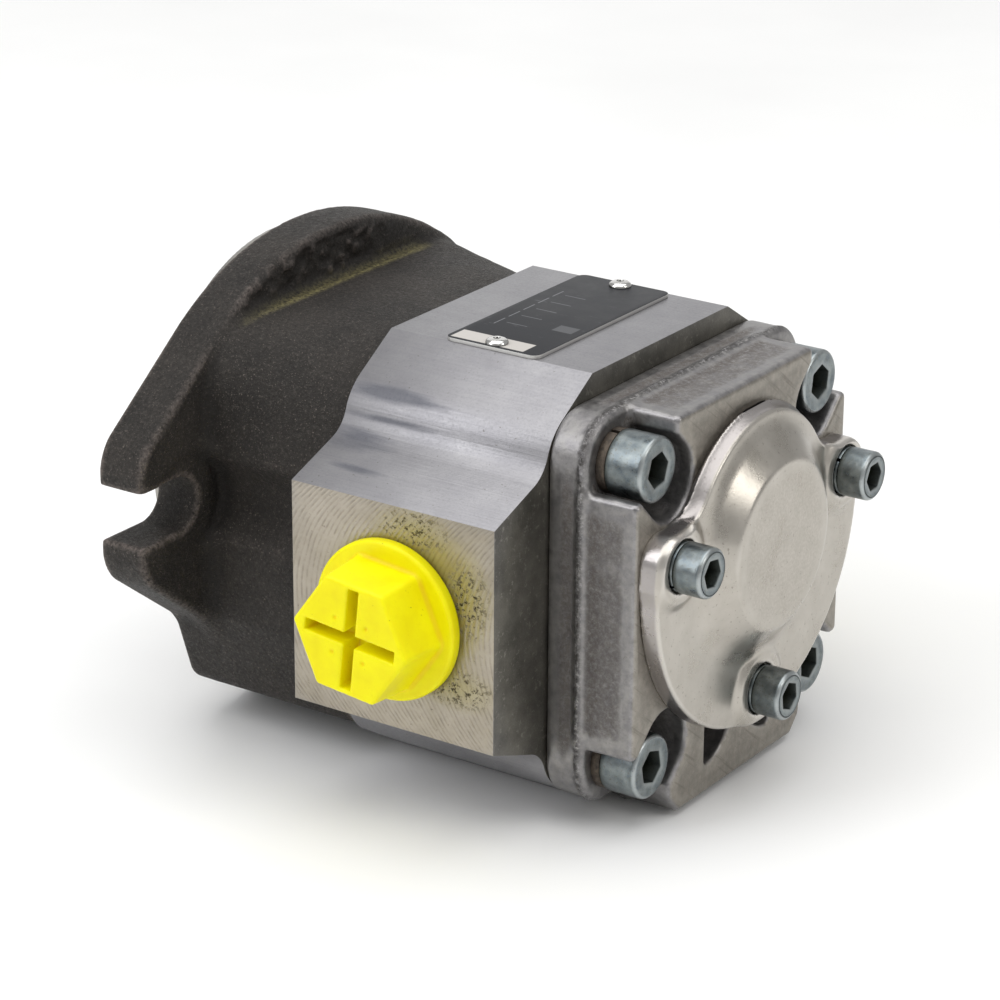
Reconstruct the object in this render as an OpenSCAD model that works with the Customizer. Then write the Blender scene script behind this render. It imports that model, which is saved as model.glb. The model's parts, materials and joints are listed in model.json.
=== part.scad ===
// Internal gear pump with a two-bolt flange, in three castings and one extrusion.
// X runs along the drive shaft, away from the drive end. Z is up.
// The origin is where the shaft axis meets the flange's mounting face.

/* [Gear set] */
// Module of the teeth
gear_module = 2.6; // [2.2:0.1:2.7]
// Teeth on the pinion
pinion_teeth = 13; // [12:1:14]
// Teeth that the ring gear has more than the pinion
extra_teeth = 7; // [7:1:8]
// Pressure angle in degrees
pressure_angle = 25; // [24:1:28]
// Wall of the ring gear outside its tooth roots
ring_rim = 4.2; // [3:0.1:4.4]
// Wall of the plain bearing around the ring gear
liner_wall = 1.5; // [1:0.1:1.6]
// Thickness of each side plate
side_plate_t = 6.3; // [5:0.1:8]
// Diameter of the sealing rollers in the filler
roller_d = 3; // [2:0.1:3.4]
// Diameter of the pin that stops the filler
stop_pin_d = 4.2; // [3:0.1:4.4]

/* [Mounting flange] */
// Thickness of the flange
flange_t = 10.8; // [8:0.1:16]
// Half length of the flange, from the shaft axis to a lug's end
lug_reach = 65; // [62:0.5:75]
// Half height of the flat at a lug's end
lug_half_h = 12.7; // [10:0.1:16]
// Half height of the flange at the shaft
flange_half_h = 44.8; // [43:0.1:50]
// Slope of the flange's straight sides in degrees
flange_slope = 37.4; // [33:0.1:40]
// Distance between the mounting bolts
bolt_spacing = 106.4; // [100:0.1:112]
// Width of the open bolt slots
slot_w = 11.2; // [9:0.1:13.5]
// Diameter of the pilot
pilot_d = 82.55; // [70:0.05:84]
// Height of the pilot
pilot_len = 6.35; // [5.6:0.05:8]

/* [Front housing] */
// Length of the casting behind the mounting face
front_len = 41.5; // [36:0.5:60]
// Half width of the casting
front_half_w = 44.5; // [43:0.1:47]
// Height of the casting above the gear set's centre
front_top = 43; // [42:0.1:44]
// Depth of the casting below the gear set's centre
front_bottom = 44.2; // [43:0.1:48]
// Radius of the casting's upper corners at its rear end
front_corner_r = 30; // [20:1:34]
// Radius of the casting's upper corners at the flange
flange_corner_r = 14; // [8:0.5:18]
// Radius of the relief behind each bolt slot
relief_r = 10; // [8:0.5:11]

/* [Port body] */
// Length of the extruded body
body_len = 46.7; // [38:0.1:60]
// Half width of the body across its port pads
pad_reach = 57.3; // [54:0.1:70]
// Half height of a port pad
pad_half_h = 22.7; // [20:0.1:24]
// Half width of the body's flat top
top_half_w = 24.8; // [22:0.1:27]
// Height of the body's flat top above the gear set's centre
body_half_h = 44.2; // [43.6:0.1:50]
// Thread diameter of the suction port
suction_d = 26.44; // [16:0.01:30]
// Thread diameter of the pressure port
pressure_d = 20.96; // [13:0.01:27]
// Depth of the port threads
port_depth = 16; // [12:0.5:17]
// Wall between the passage and the thread, at the bottom of each port
port_step = 2.2; // [1.5:0.1:3]

/* [Rear cover] */
// Thickness of the rear cover's base
base_t = 8.5; // [7:0.1:14]
// Height of the raised block on it
block_t = 11.1; // [9:0.1:16]
// Half width of the rear cover
cover_half_w = 39.6; // [38.5:0.1:43]
// Half length of the block between the upper and the lower screws
block_half_h = 26.1; // [24:0.1:28]
// Half width of the block between the left and the right screws
block_half_w = 25.2; // [24:0.1:27]
// Extra height of the block at the bottom
foot_h = 3.6; // [0:0.1:6]

/* [End cap] */
// Height of the cap's centre, from the shaft axis
cap_z = -1.2; // [-3:0.1:1]
// Radius of the cap's flange
cap_r = 38; // [37:0.1:40]
// Thickness of the cap's flange
cap_t = 4; // [3:0.1:6]
// Radius of the cap's rounded top
cap_top_r = 25.8; // [25:0.1:27]
// Radius of the lobes at the side screws
cap_lobe_r = 5.4; // [4.5:0.1:6]
// Radius of the dome at its foot
dome_r = 23.6; // [20:0.1:25]
// Radius of the flat on the dome
dome_flat_r = 16.9; // [8:0.1:18]
// Height of the dome
dome_h = 5.2; // [3:0.1:9]

/* [Shaft] */
// Diameter of the drive end
drive_d = 15.875; // [12.7:0.005:19.05]
// Length of the drive end in front of the mounting face
drive_len = 32; // [25:0.5:45]
// Diameter that the shaft seal runs on
seal_journal_d = 20; // [19.5:0.1:22]
// Diameter of the two bearing journals
journal_d = 24; // [22:0.1:25]
// Wall of the bearing bushes
bush_wall = 2; // [1.5:0.1:3]
// Width of the key
key_w = 4; // [3:0.1:5]
// Length of the key
key_len = 14; // [10:0.5:18]
// Distance from the shaft's end to the key
key_from_end = 8; // [6:0.5:12]

/* [Screws] */
// Distance between the corner screws, across and up
screw_span = 60.8; // [58:0.1:62]
// Thread diameter of the corner screws
corner_screw_d = 8; // [6:1:8]
// Thread length of the corner screws in the front housing
corner_grip = 16; // [12:0.5:24]
// Radius of the circle that the cap screws are on
cap_screw_circle = 31.4; // [31:0.1:32]
// Angle of the two upper cap screws above the horizontal in degrees
cap_screw_angle = 9; // [4:0.5:14]
// Thread diameter of the cap screws
cap_screw_d = 6; // [5:1:6]
// Thread length of the cap screws in the rear cover
cap_grip = 11; // [8:0.5:14]

/* [Trim] */
// Width of the name plate, along the shaft
plate_w = 21.6; // [14:0.1:30]
// Length of the name plate, across the body
plate_len = 48.8; // [30:0.1:49]
// Thickness of the name plate
plate_t = 0.8; // [0.4:0.1:1.5]
// Distance between the name plate's rivets
rivet_span = 44; // [24:0.5:46]
// How far a port plug's thread goes in
plug_depth = 12; // [8:0.5:12]
// Thickness of a port plug's rim
plug_rim_t = 2.8; // [2:0.1:4]
// Height of a port plug's hexagon above its rim
plug_hex_h = 11; // [7:0.5:16]

/* [Hidden] */
$fn = 64;

// Clearances: seated parts, running parts, threads and screws in plain holes.
seat = 0.03;
run = 0.05;
thread_gap = 0.05;
screw_gap = 0.5;
eps = 0.01;

// Gear set. The pinion turns on the shaft axis and the ring gear below it, tooth in gap at the top.
ring_teeth = pinion_teeth + extra_teeth;
gear_offset = gear_module * extra_teeth / 2;
addendum = 0.9 * gear_module;
dedendum = 1.1 * gear_module;
backlash = 0.1;
pinion_tip_r = gear_module * pinion_teeth / 2 + addendum;
ring_pitch_r = gear_module * ring_teeth / 2;
ring_tip_r = ring_pitch_r - addendum;
ring_root_r = ring_pitch_r + dedendum;
ring_r = ring_root_r + ring_rim;
liner_r = ring_r + run + liner_wall;
cavity_r = liner_r + seat;
axial_gap = 0.05;
gear_w = body_len - 2 * (side_plate_t + axial_gap);
center_z = -gear_offset;

// Stations along the shaft.
body_x = front_len;
cover_x = body_x + body_len;
base_x = cover_x + base_t;
block_x = base_x + block_t;
cap_x = block_x + cap_t;
dome_x = cap_x + dome_h;
gear_x = body_x + side_plate_t + axial_gap;
port_x = body_x + body_len / 2;
top_z = center_z + body_half_h;

// Seats of the shaft seal, its retaining ring and the bushes.
seal_r = 17.5;
seal_w = 7;
clip_t = 1.2;
clip_depth = 1.1;
seal_x = -2.3;
clip_x = seal_x - clip_t - 0.1;
seal_floor_x = seal_x + seal_w + 0.8;
step_x = seal_floor_x + 2.5;
bush_r = journal_d / 2 + run + bush_wall;
front_bush_x = step_x + 2;
front_bush_len = body_x - 1.5 - front_bush_x;
rear_bush_len = base_t + block_t - 4.8;
shaft_end_x = cover_x + rear_bush_len - 1;
spigot_h = 3.5;
spigot_floor = 0.8;
spigot_r = 22;

// Corner screws, their washers and the channels for their heads.
screw_at = [for (sy = [-1, 1], sz = [-1, 1]) [sy * screw_span / 2, center_z + sz * screw_span / 2]];
corner_washer_t = corner_screw_d / 4;
corner_head_r = corner_screw_d * 0.8125;
channel_r = corner_head_r + 1.3;
channel_in = 3.1;
cover_corner_r = cover_half_w - screw_span / 2;

// Cap screws.
cap_screw_angles = [-90, cap_screw_angle, 180 - cap_screw_angle];
cap_screw_at = [for (a = cap_screw_angles)
    [cap_screw_circle * cos(a), cap_z + cap_screw_circle * sin(a)]];
cap_washer_t = 1.6;
cap_head_r = cap_screw_d * 5 / 6;

// Body seals and dowels.
ring_section = 0.8;
body_seal_r = cavity_r + 2;
dowel_r = 2;
dowel_len = 14;
dowel_at = [[-22.5, center_z + 35.5], [22.5, center_z - 35.5]];

// Filler between the gears, split by a circle about halfway between their tips.
split_z = -0.55 * gear_offset;
split_r = (pinion_tip_r + ring_tip_r + gear_offset) / 2 + split_z;
filler_gap = 0.06;
stop_gap = 0.53;
stop_mid = pinion_tip_r + stop_gap + stop_pin_d / 2;
stop_far = stop_mid + stop_pin_d / 2 + stop_gap;
stop_angle = asin((pow(stop_far, 2) + pow(gear_offset, 2) - pow(ring_tip_r, 2))
    / (2 * stop_far * gear_offset));
stop_at = [-stop_mid * cos(stop_angle), -stop_mid * sin(stop_angle)];
roller_angles = [-120, -60];
spring_angles = [-100, -80];
spring_t = 0.4;

// Name plate.
plate_y = -0.5;
rivet_head_r = 2.3;
rivet_r = 1.2;

// ---- Shapes and moves shared by the parts ----

// Stands a flat shape, drawn in Y and Z, up along the shaft from x0 to x1.
module along(x0, x1) {
    translate([x0, 0, 0])
        rotate([90, 0, 90])
            linear_extrude(x1 - x0)
                children();
}

// A round bar along the shaft.
module bar(r, x0, x1, at = [0, 0]) {
    translate([x0, at[0], at[1]])
        rotate([0, 90, 0])
            cylinder(r = r, h = x1 - x0);
}

// A profile of [distance along the shaft, radius], turned about an axis parallel to the shaft.
module turned(profile, at = [0, 0]) {
    translate([0, at[0], at[1]])
        rotate([0, 90, 0])
            rotate_extrude()
                polygon([for (p = profile) [p[1], p[0]]]);
}

// A sealing ring of round section about an axis parallel to the shaft.
module round_ring(r, section, x, at = [0, 0]) {
    translate([x, at[0], at[1]])
        rotate([0, 90, 0])
            rotate_extrude()
                translate([r, 0])
                    circle(section, $fn = 24);
}

// A part of a ring between two angles, seen from behind the pump.
module ring_sector(r0, r1, a0, a1, x0, x1, at = [0, 0]) {
    translate([x0, at[0], at[1]])
        rotate([90, 0, 90])
            rotate([0, 0, a0])
                rotate_extrude(angle = a1 - a0)
                    translate([r0, 0])
                        square([r1 - r0, x1 - x0]);
}

// Points of an arc about c, from angle a0 to angle a1.
function arc(c, r, a0, a1, steps = 12) =
    [for (i = [0 : steps]) let (a = a0 + (a1 - a0) * i / steps) c + r * [cos(a), sin(a)]];

// Angle of the line from p to q.
function bearing(p, q) = atan2(q[1] - p[1], q[0] - p[0]);

// The lower of the two points that are ra from a and rb from b.
function meet(a, ra, b, rb) =
    let (d = norm(b - a), u = (b - a) / d, t = (d * d + ra * ra - rb * rb) / (2 * d),
        h = sqrt(ra * ra - t * t))
    a + t * u + h * [-u[1], u[0]];

// The same points the other way round, mirrored to the other side.
function mirrored(points) = [for (i = [len(points) - 1 : -1 : 0]) [-points[i][0], points[i][1]]];

// ---- Gears ----

// Involute of an angle in degrees, in degrees.
function involute(a) = tan(a) * 180 / PI - a;

// Half the angle that a tooth fills at radius r, where thicker makes it wider at the pitch circle.
function half_tooth(z, r, thicker) =
    let (pitch = gear_module * z / 2, base = pitch * cos(pressure_angle))
    90 / z + thicker / (2 * pitch) * 180 / PI + involute(pressure_angle)
        - involute(acos(min(1, base / r)));

// Outline of a gear with a tooth straight up, its teeth reaching from r_root to r_tip.
function gear_points(z, r_root, r_tip, thicker, steps = 5) =
    let (base = gear_module * z / 2 * cos(pressure_angle), low = max(base, r_root),
        flank = concat(r_root < base ? [[r_root, half_tooth(z, low, thicker)]] : [],
            [for (i = [0 : steps]) let (r = low + (r_tip - low) * i / steps)
                [r, half_tooth(z, r, thicker)]]),
        n = len(flank))
    [for (k = [0 : z - 1], i = [0 : 2 * n - 1])
        let (f = flank[i < n ? i : 2 * n - 1 - i], side = i < n ? 1 : -1,
            a = 90 - 360 * k / z + side * f[1])
        f[0] * [cos(a), sin(a)]];

// ---- Castings, extrusion and cap ----

// Flange outline: flat lug ends, straight sides and an arc over the top and the bottom.
function flange_points() =
    let (side = lug_half_h * cos(flange_slope) + lug_reach * sin(flange_slope),
        drop = (side - flange_half_h) / (1 - cos(flange_slope)), r = flange_half_h + drop,
        top = arc([0, -drop], r, 90 - flange_slope, 90 + flange_slope, 24))
    concat([[lug_reach, lug_half_h]], top, [[-lug_reach, lug_half_h]],
        [[-lug_reach, -lug_half_h]], [for (p = mirrored(top)) [p[0], -p[1]]],
        [[lug_reach, -lug_half_h]]);

// Right half of the casting's section, from the top down, about the gear set's centre.
function casting_half(corner_r) =
    concat(arc([front_half_w - corner_r, front_top - corner_r], corner_r, 90, 0, 10),
        [[front_half_w + 0.3, -16.8]],
        arc([front_half_w - 10, 12.8 - front_bottom], 5, -19, -66, 5),
        [[18, -front_bottom]]);

// Right upper quarter of the body's section: pad, hollow shoulder, round shoulder and flat top.
function body_quarter() =
    let (slope = 20, steep = 70, hollow_r = 7.4, round_r = 11.7, roof = 29,
        edge = [44.3, pad_half_h + (pad_reach - 44.3) * tan(slope)],
        hollow = arc(edge + hollow_r * [sin(slope), cos(slope)], hollow_r, 270 - slope,
            270 - steep, 6),
        turn = hollow[6] - round_r * [sin(steep), cos(steep)],
        shoulder = arc(turn, round_r, 90 - steep, 90 - roof, 6))
    concat([[pad_reach, pad_half_h]], hollow, shoulder, [[top_half_w, body_half_h]]);

// Casting behind the flange. Its upper corners are tight at the flange, and leaning flats that
// follow the growing radius open them out toward the body.
module housing_shape() {
    right = casting_half(flange_corner_r);
    growth = (front_corner_r - flange_corner_r) / (front_len - flange_t);
    difference() {
        along(0, front_len)
            translate([0, center_z])
                polygon(concat(right, mirrored(right)));
        for (s = [-1, 1], a = [15 : 20 : 75]) {
            inset = cos(a) + sin(a) - 1;
            translate([flange_t, s * front_half_w, center_z + front_top])
                rotate([90 + s * (a - 90), 0, 0])
                    translate([0, -flange_corner_r * inset, 0])
                        rotate([0, 0, -atan(growth * inset)])
                            translate([0, 0, -front_corner_r])
                                cube([2 * front_len, front_corner_r, 2 * front_corner_r]);
        }
    }
}

module body_shape() {
    right = body_quarter();
    upper = concat(right, mirrored(right));
    translate([0, center_z])
        polygon(concat(upper, [for (i = [len(upper) - 1 : -1 : 0]) [upper[i][0], -upper[i][1]]]));
}

// Right half of the rear cover's section, a rounded square with a foot under it.
function cover_half() =
    let (s = screw_span / 2, foot = cover_half_w + foot_h)
    concat(arc([s, s], cover_corner_r, 90, 0), arc([s, -s], cover_corner_r, 0, -90),
        [[block_half_w, -cover_half_w], [block_half_w - 3.4, -foot]]);

module cover_shape() {
    right = cover_half();
    translate([0, center_z])
        polygon(concat(right, mirrored(right)));
}

// Cap outline: one large arc below, a lobe at each side screw, and hollow flanks that
// run round the corner screws to the rounded top.
function cap_points() =
    let (c = [0, cap_z], corner = screw_at[3], flank_r = norm(corner - c) - cap_top_r,
        lobe = meet(corner, flank_r + cap_lobe_r, c, cap_r - cap_lobe_r),
        lobe_end = bearing(lobe, corner), flank_end = bearing(corner, c),
        right = concat(arc(c, cap_r, -90, bearing(c, lobe), 30),
            arc(lobe, cap_lobe_r, bearing(c, lobe), lobe_end, 8),
            arc(corner, flank_r, lobe_end - 180, flank_end, 12),
            arc(c, cap_top_r, flank_end + 180, 90, 10)))
    concat(right, mirrored(right));

module front_housing() {
    color("#3b3633")
        difference() {
            union() {
                along(0, flange_t)
                    polygon(flange_points());
                housing_shape();
                bar(pilot_d / 2, -pilot_len, 1);
            }
            for (s = [-1, 1]) {
                bar(slot_w / 2, -1, flange_t + 1, [s * bolt_spacing / 2, 0]);
                translate([-1, min(s * bolt_spacing / 2, s * (lug_reach + 2)), -slot_w / 2])
                    cube([flange_t + 2, lug_reach + 2 - bolt_spacing / 2, slot_w]);
                bar(relief_r, flange_t, front_len + 1, [s * (front_half_w + 6), 0]);
            }
            bar(seal_r + seat, -pilot_len - 1, seal_floor_x);
            bar(seal_r + clip_depth, clip_x - 0.1, clip_x + clip_t + 0.1);
            bar(journal_d / 2 + 1, seal_floor_x - 1, front_bush_x + 1);
            bar(bush_r + seat, front_bush_x, front_len + 1);
            for (p = screw_at)
                bar(corner_screw_d / 2 + thread_gap, front_len - corner_grip - 2, front_len + 1, p);
            for (p = dowel_at)
                bar(dowel_r + seat, front_len - dowel_len / 2 - 0.5, front_len + 1, p);
        }
}

// One port: thread, then a narrower passage into the cavity. It leaves the body along Y.
module port_cut(d, side) {
    translate([port_x, 0, center_z])
        rotate([-90 * side, 0, 0]) {
            translate([0, 0, pad_reach - port_depth])
                cylinder(d = d, h = port_depth + 1);
            cylinder(r = d / 2 - port_step, h = pad_reach);
        }
}

module port_body() {
    color("#a9a7a6")
        difference() {
            along(body_x, cover_x)
                body_shape();
            bar(cavity_r, body_x - 1, cover_x + 1, [0, center_z]);
            port_cut(suction_d, -1);
            port_cut(pressure_d, 1);
            for (x = [body_x, cover_x])
                seal_groove(x);
            for (p = screw_at)
                bar((corner_screw_d + screw_gap) / 2, body_x - 1, cover_x + 1, p);
            for (x = [body_x, cover_x], p = dowel_at)
                bar(dowel_r + seat, x - dowel_len / 2 - 0.5, x + dowel_len / 2 + 0.5, p);
            for (s = [-1, 1])
                translate([port_x, plate_y + s * rivet_span / 2, top_z - 5])
                    cylinder(r = rivet_r + seat, h = 6);
        }
}

// Groove for a body seal in both end faces, half of it on each side of x.
module seal_groove(x) {
    depth = 2 * ring_section + 0.02;
    difference() {
        bar(body_seal_r + ring_section + 0.2, x - depth, x + depth, [0, center_z]);
        bar(body_seal_r - ring_section - 0.2, x - depth - 1, x + depth + 1, [0, center_z]);
    }
}

// Corner of the block that is cut away down to the base, with the channel for a screw head.
module corner_cut(sy, sz) {
    far = cover_half_w + foot_h + 2;
    inner = screw_span / 2 - channel_in;
    channel_len = 2 * channel_in + 6;
    translate([0, center_z])
        mirror([sy < 0 ? 1 : 0, 0])
            mirror([0, sz < 0 ? 1 : 0]) {
                translate([block_half_w, block_half_h])
                    square([far - block_half_w, far - block_half_h]);
                translate([inner, inner])
                    rotate(45)
                        polygon(concat(arc([0, 0], channel_r, 90, 270, 16),
                            [[channel_len, -channel_r], [channel_len, channel_r]]));
            }
}

// Cored pocket in the face below the cap: a quarter disc beside the lower screw.
module core_pocket(side) {
    intersection() {
        translate([side * 12.4, center_z - 26.6])
            circle(10.2);
        translate([side * 7.4 - 5, center_z - 40])
            square([10, 11.6]);
    }
}

module rear_cover() {
    color("#86837f")
        difference() {
            union() {
                along(cover_x, base_x)
                    cover_shape();
                along(base_x - 1, block_x)
                    difference() {
                        cover_shape();
                        for (sy = [-1, 1], sz = [-1, 1])
                            corner_cut(sy, sz);
                    }
            }
            bar(bush_r + seat, cover_x - 1, cover_x + rear_bush_len + 0.3);
            bar(bush_r - 1, cover_x, block_x);
            bar(spigot_r + run, block_x - spigot_h - spigot_floor, block_x + 1, [0, cap_z]);
            along(base_x + 2, block_x + 1)
                for (s = [-1, 1])
                    core_pocket(s);
            for (p = screw_at)
                bar((corner_screw_d + screw_gap) / 2, cover_x - 1, base_x + 1, p);
            for (p = cap_screw_at)
                bar(cap_screw_d / 2 + thread_gap, block_x - cap_grip - 1.5, block_x + 1, p);
            for (p = dowel_at)
                bar(dowel_r + seat, cover_x - 1, cover_x + dowel_len / 2 + 0.5, p);
        }
}

module end_cap() {
    color("#b9b0a3")
        difference() {
            union() {
                along(block_x, cap_x)
                    polygon(cap_points());
                translate([cap_x - eps, 0, cap_z])
                    rotate([0, 90, 0])
                        cylinder(r1 = dome_r, r2 = dome_flat_r, h = dome_h + eps);
                bar(spigot_r, block_x - spigot_h, block_x + 1, [0, cap_z]);
            }
            bar(dome_flat_r - 4, block_x - spigot_h - 1, cap_x, [0, cap_z]);
            difference() {
                bar(spigot_r + 1, block_x - spigot_h + 0.7, block_x - 0.5, [0, cap_z]);
                bar(spigot_r - 2 * ring_section, block_x - spigot_h, block_x, [0, cap_z]);
            }
            for (p = cap_screw_at) {
                bar((cap_screw_d + screw_gap) / 2, block_x - 1, cap_x + 1, p);
                bar(cap_head_r + 4.2, cap_x, dome_x + 1, p);
            }
        }
}

// ---- Screws and washers ----

// Socket head screw that points along -X, with its head on a washer at x.
module socket_screw(d, head_r, x, length, at) {
    socket = d * 0.375;
    translate([x, at[0], at[1]])
        rotate([0, 90, 0])
            difference() {
                union() {
                    translate([0, 0, -length])
                        cylinder(r = d / 2, h = length + eps);
                    cylinder(r = head_r, h = d - 0.6);
                    translate([0, 0, d - 0.6])
                        cylinder(r1 = head_r, r2 = head_r - 0.5, h = 0.6);
                }
                translate([0, 0, d / 2])
                    rotate(12)
                        cylinder(r = socket / cos(30), h = d, $fn = 6);
            }
}

// Spring lock washer: a split ring.
module lock_washer(d, head_r, t, x, at) {
    translate([x, at[0], at[1]])
        rotate([0, 90, 0])
            difference() {
                cylinder(r = head_r - 0.1, h = t);
                translate([0, 0, -1])
                    cylinder(r = d / 2 + 0.2, h = t + 2);
                rotate([25, 0, 20])
                    translate([head_r * 0.8, 0, 0])
                        cube([head_r, 0.8, 4 * t], center = true);
            }
}

module corner_screws() {
    length = base_t + body_len + corner_grip + corner_washer_t;
    color("#a9b1b0")
        for (p = screw_at)
            socket_screw(corner_screw_d, corner_head_r, base_x + corner_washer_t, length, p);
}

module corner_lock_washers() {
    color("#6f6a61")
        for (p = screw_at)
            lock_washer(corner_screw_d, corner_head_r, corner_washer_t, base_x, p);
}

module cap_screws() {
    length = cap_t + cap_grip + cap_washer_t;
    color("#a9b1b0")
        for (p = cap_screw_at)
            socket_screw(cap_screw_d, cap_head_r, cap_x + cap_washer_t, length, p);
}

module cap_lock_washers() {
    color("#9aa2a1")
        for (p = cap_screw_at)
            lock_washer(cap_screw_d, cap_head_r, cap_washer_t, cap_x, p);
}

// ---- Gear set ----

module pinion_shaft() {
    drive_r = drive_d / 2;
    key_x = key_from_end - drive_len;
    color("#c9ccce")
        difference() {
            union() {
                turned([[-drive_len, 0], [-drive_len, drive_r - 1], [1 - drive_len, drive_r],
                    [seal_x - 1.4, drive_r], [seal_x - 0.4, seal_journal_d / 2],
                    [step_x, seal_journal_d / 2], [step_x + 1, journal_d / 2],
                    [shaft_end_x - 1, journal_d / 2], [shaft_end_x, journal_d / 2 - 1],
                    [shaft_end_x, 0]]);
                along(gear_x, gear_x + gear_w)
                    polygon(gear_points(pinion_teeth, pinion_tip_r - addendum - dedendum,
                        pinion_tip_r, -backlash));
            }
            key_block(key_x, key_w + 2 * seat, drive_r - key_w * 0.6);
        }
}

// Round-ended block of width w for the key and its seat, from z0 up.
module key_block(x0, w, z0) {
    ends = [x0 + key_w / 2, x0 + key_len - key_w / 2];
    translate([0, 0, z0])
        linear_extrude(key_w) {
            translate([ends[0], -w / 2])
                square([ends[1] - ends[0], w]);
            for (x = ends)
                translate([x, 0])
                    circle(w / 2);
        }
}

module shaft_key() {
    color("#8d9194")
        key_block(key_from_end - drive_len, key_w, drive_d / 2 - key_w * 0.6 + seat);
}

module ring_gear() {
    color("#9a9fa3")
        difference() {
            bar(ring_r, gear_x, gear_x + gear_w, [0, center_z]);
            translate([0, 0, center_z])
                along(gear_x - 1, gear_x + gear_w + 1)
                    polygon(gear_points(ring_teeth, ring_tip_r, ring_root_r, backlash));
            for (k = [0 : ring_teeth - 1])
                translate([gear_x + gear_w / 2, 0, center_z])
                    rotate([360 * k / ring_teeth, 0, 0])
                        translate([0, 0, ring_tip_r])
                            cylinder(d = 3.6, h = ring_r);
        }
}

module ring_liner() {
    color("#b58a4e")
        difference() {
            bar(liner_r, gear_x, gear_x + gear_w, [0, center_z]);
            bar(ring_r + run, gear_x - 1, gear_x + gear_w + 1, [0, center_z]);
            port_cut(suction_d, -1);
            port_cut(pressure_d, 1);
        }
}

// Space between the gears' tips below the mesh, behind the stop pin.
module crescent() {
    low = ring_tip_r + gear_offset;
    difference() {
        translate([0, center_z])
            circle(ring_tip_r - run);
        circle(pinion_tip_r + run);
        translate([-2 * low, -stop_mid * sin(stop_angle) - stop_pin_d / 2 - 1.6])
            square([2 * low, 3 * low]);
        translate([0, -3])
            square([2 * low, 3 * low]);
    }
}

module rollers(r, x0, x1) {
    for (a = roller_angles)
        bar(r, x0, x1, [split_r * cos(a), split_z + split_r * sin(a)]);
}

module springs(t, x0, x1) {
    ring_sector(split_r + filler_gap, split_r + filler_gap + t, spring_angles[0],
        spring_angles[1], x0, x1, [0, split_z]);
}

module filler_inner() {
    color("#a77f3d")
        difference() {
            along(gear_x, gear_x + gear_w)
                intersection() {
                    crescent();
                    translate([0, split_z])
                        circle(split_r - filler_gap);
                }
            rollers(roller_d / 2 + run, gear_x - 1, gear_x + gear_w + 1);
        }
}

module filler_outer() {
    color("#b08a48")
        difference() {
            along(gear_x, gear_x + gear_w)
                difference() {
                    crescent();
                    translate([0, split_z])
                        circle(split_r + filler_gap);
                }
            rollers(roller_d / 2 + run, gear_x - 1, gear_x + gear_w + 1);
            springs(spring_t + 0.1, gear_x + 3, gear_x + gear_w - 3);
        }
}

module filler_rollers() {
    color("#c9ccce")
        rollers(roller_d / 2, gear_x + 0.1, gear_x + gear_w - 0.1);
}

module filler_springs() {
    color("#7f868c")
        springs(spring_t, gear_x + 4, gear_x + gear_w - 4);
}

module filler_stop_pin() {
    color("#8d9194")
        bar(stop_pin_d / 2, body_x + 1, cover_x - 1, stop_at);
}

// Pressure field on the back of a side plate, clear of the shaft, inset by a wall.
module pressure_field(x0, x1, inset) {
    spread = 50 - 4 * inset;
    ring_sector(journal_d / 2 + 7 + inset, cavity_r - 3.2 - inset, -spread, spread, x0, x1,
        [0, center_z]);
}

// Side plate from x0, its seal groove in the face at the end that side points to.
module side_plate(x0, side) {
    groove = 1.2;
    outer = side < 0 ? x0 : x0 + side_plate_t;
    difference() {
        bar(cavity_r - seat, x0, x0 + side_plate_t, [0, center_z]);
        bar(journal_d / 2 + run, x0 - 1, x0 + side_plate_t + 1);
        bar(stop_pin_d / 2 + seat, x0 - 1, x0 + side_plate_t + 1, stop_at);
        difference() {
            pressure_field(outer - groove, outer + groove, 0);
            pressure_field(outer - groove - 1, outer + groove + 1, 1.7);
        }
    }
}

// Rubber frame in a side plate's groove.
module plate_seal(x0, x1) {
    difference() {
        pressure_field(x0, x1, 0.1);
        pressure_field(x0 - 1, x1 + 1, 1.6);
    }
}

module front_side_plate() {
    color("#b58f55")
        side_plate(body_x, -1);
}

module rear_side_plate() {
    color("#b58f55")
        side_plate(cover_x - side_plate_t, 1);
}

module front_plate_seal() {
    color("#26282a")
        plate_seal(body_x + 0.02, body_x + 1.18);
}

module rear_plate_seal() {
    color("#26282a")
        plate_seal(cover_x - 1.18, cover_x - 0.02);
}

// ---- Bearings, seals, dowels ----

module bush(x0, x1) {
    difference() {
        bar(bush_r, x0, x1);
        bar(journal_d / 2 + run, x0 - 1, x1 + 1);
    }
}

module front_bush() {
    color("#8f8a80")
        bush(front_bush_x + 0.2, front_bush_x + front_bush_len);
}

module rear_bush() {
    color("#8f8a80")
        bush(cover_x + 0.5, cover_x + rear_bush_len);
}

module shaft_seal() {
    lip = seal_journal_d / 2 + run;
    x1 = seal_x + seal_w;
    color("#2b2d2f")
        difference() {
            turned([[seal_x, lip + 3], [seal_x, seal_r], [x1, seal_r], [x1, seal_r - 1.5],
                [seal_x + 2, seal_r - 1.5], [seal_x + 2, lip + 3], [seal_x + 5, lip + 2.4],
                [seal_x + 5, lip + 0.6], [seal_x + 4, lip], [seal_x + 3, lip + 0.6],
                [seal_x + 1, lip + 1], [seal_x, lip + 1.2]]);
            round_ring(lip + 2.4, 0.75, seal_x + 4);
        }
}

module seal_spring() {
    color("#a4a9ad")
        round_ring(seal_journal_d / 2 + run + 2.4, 0.6, seal_x + 4);
}

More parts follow.
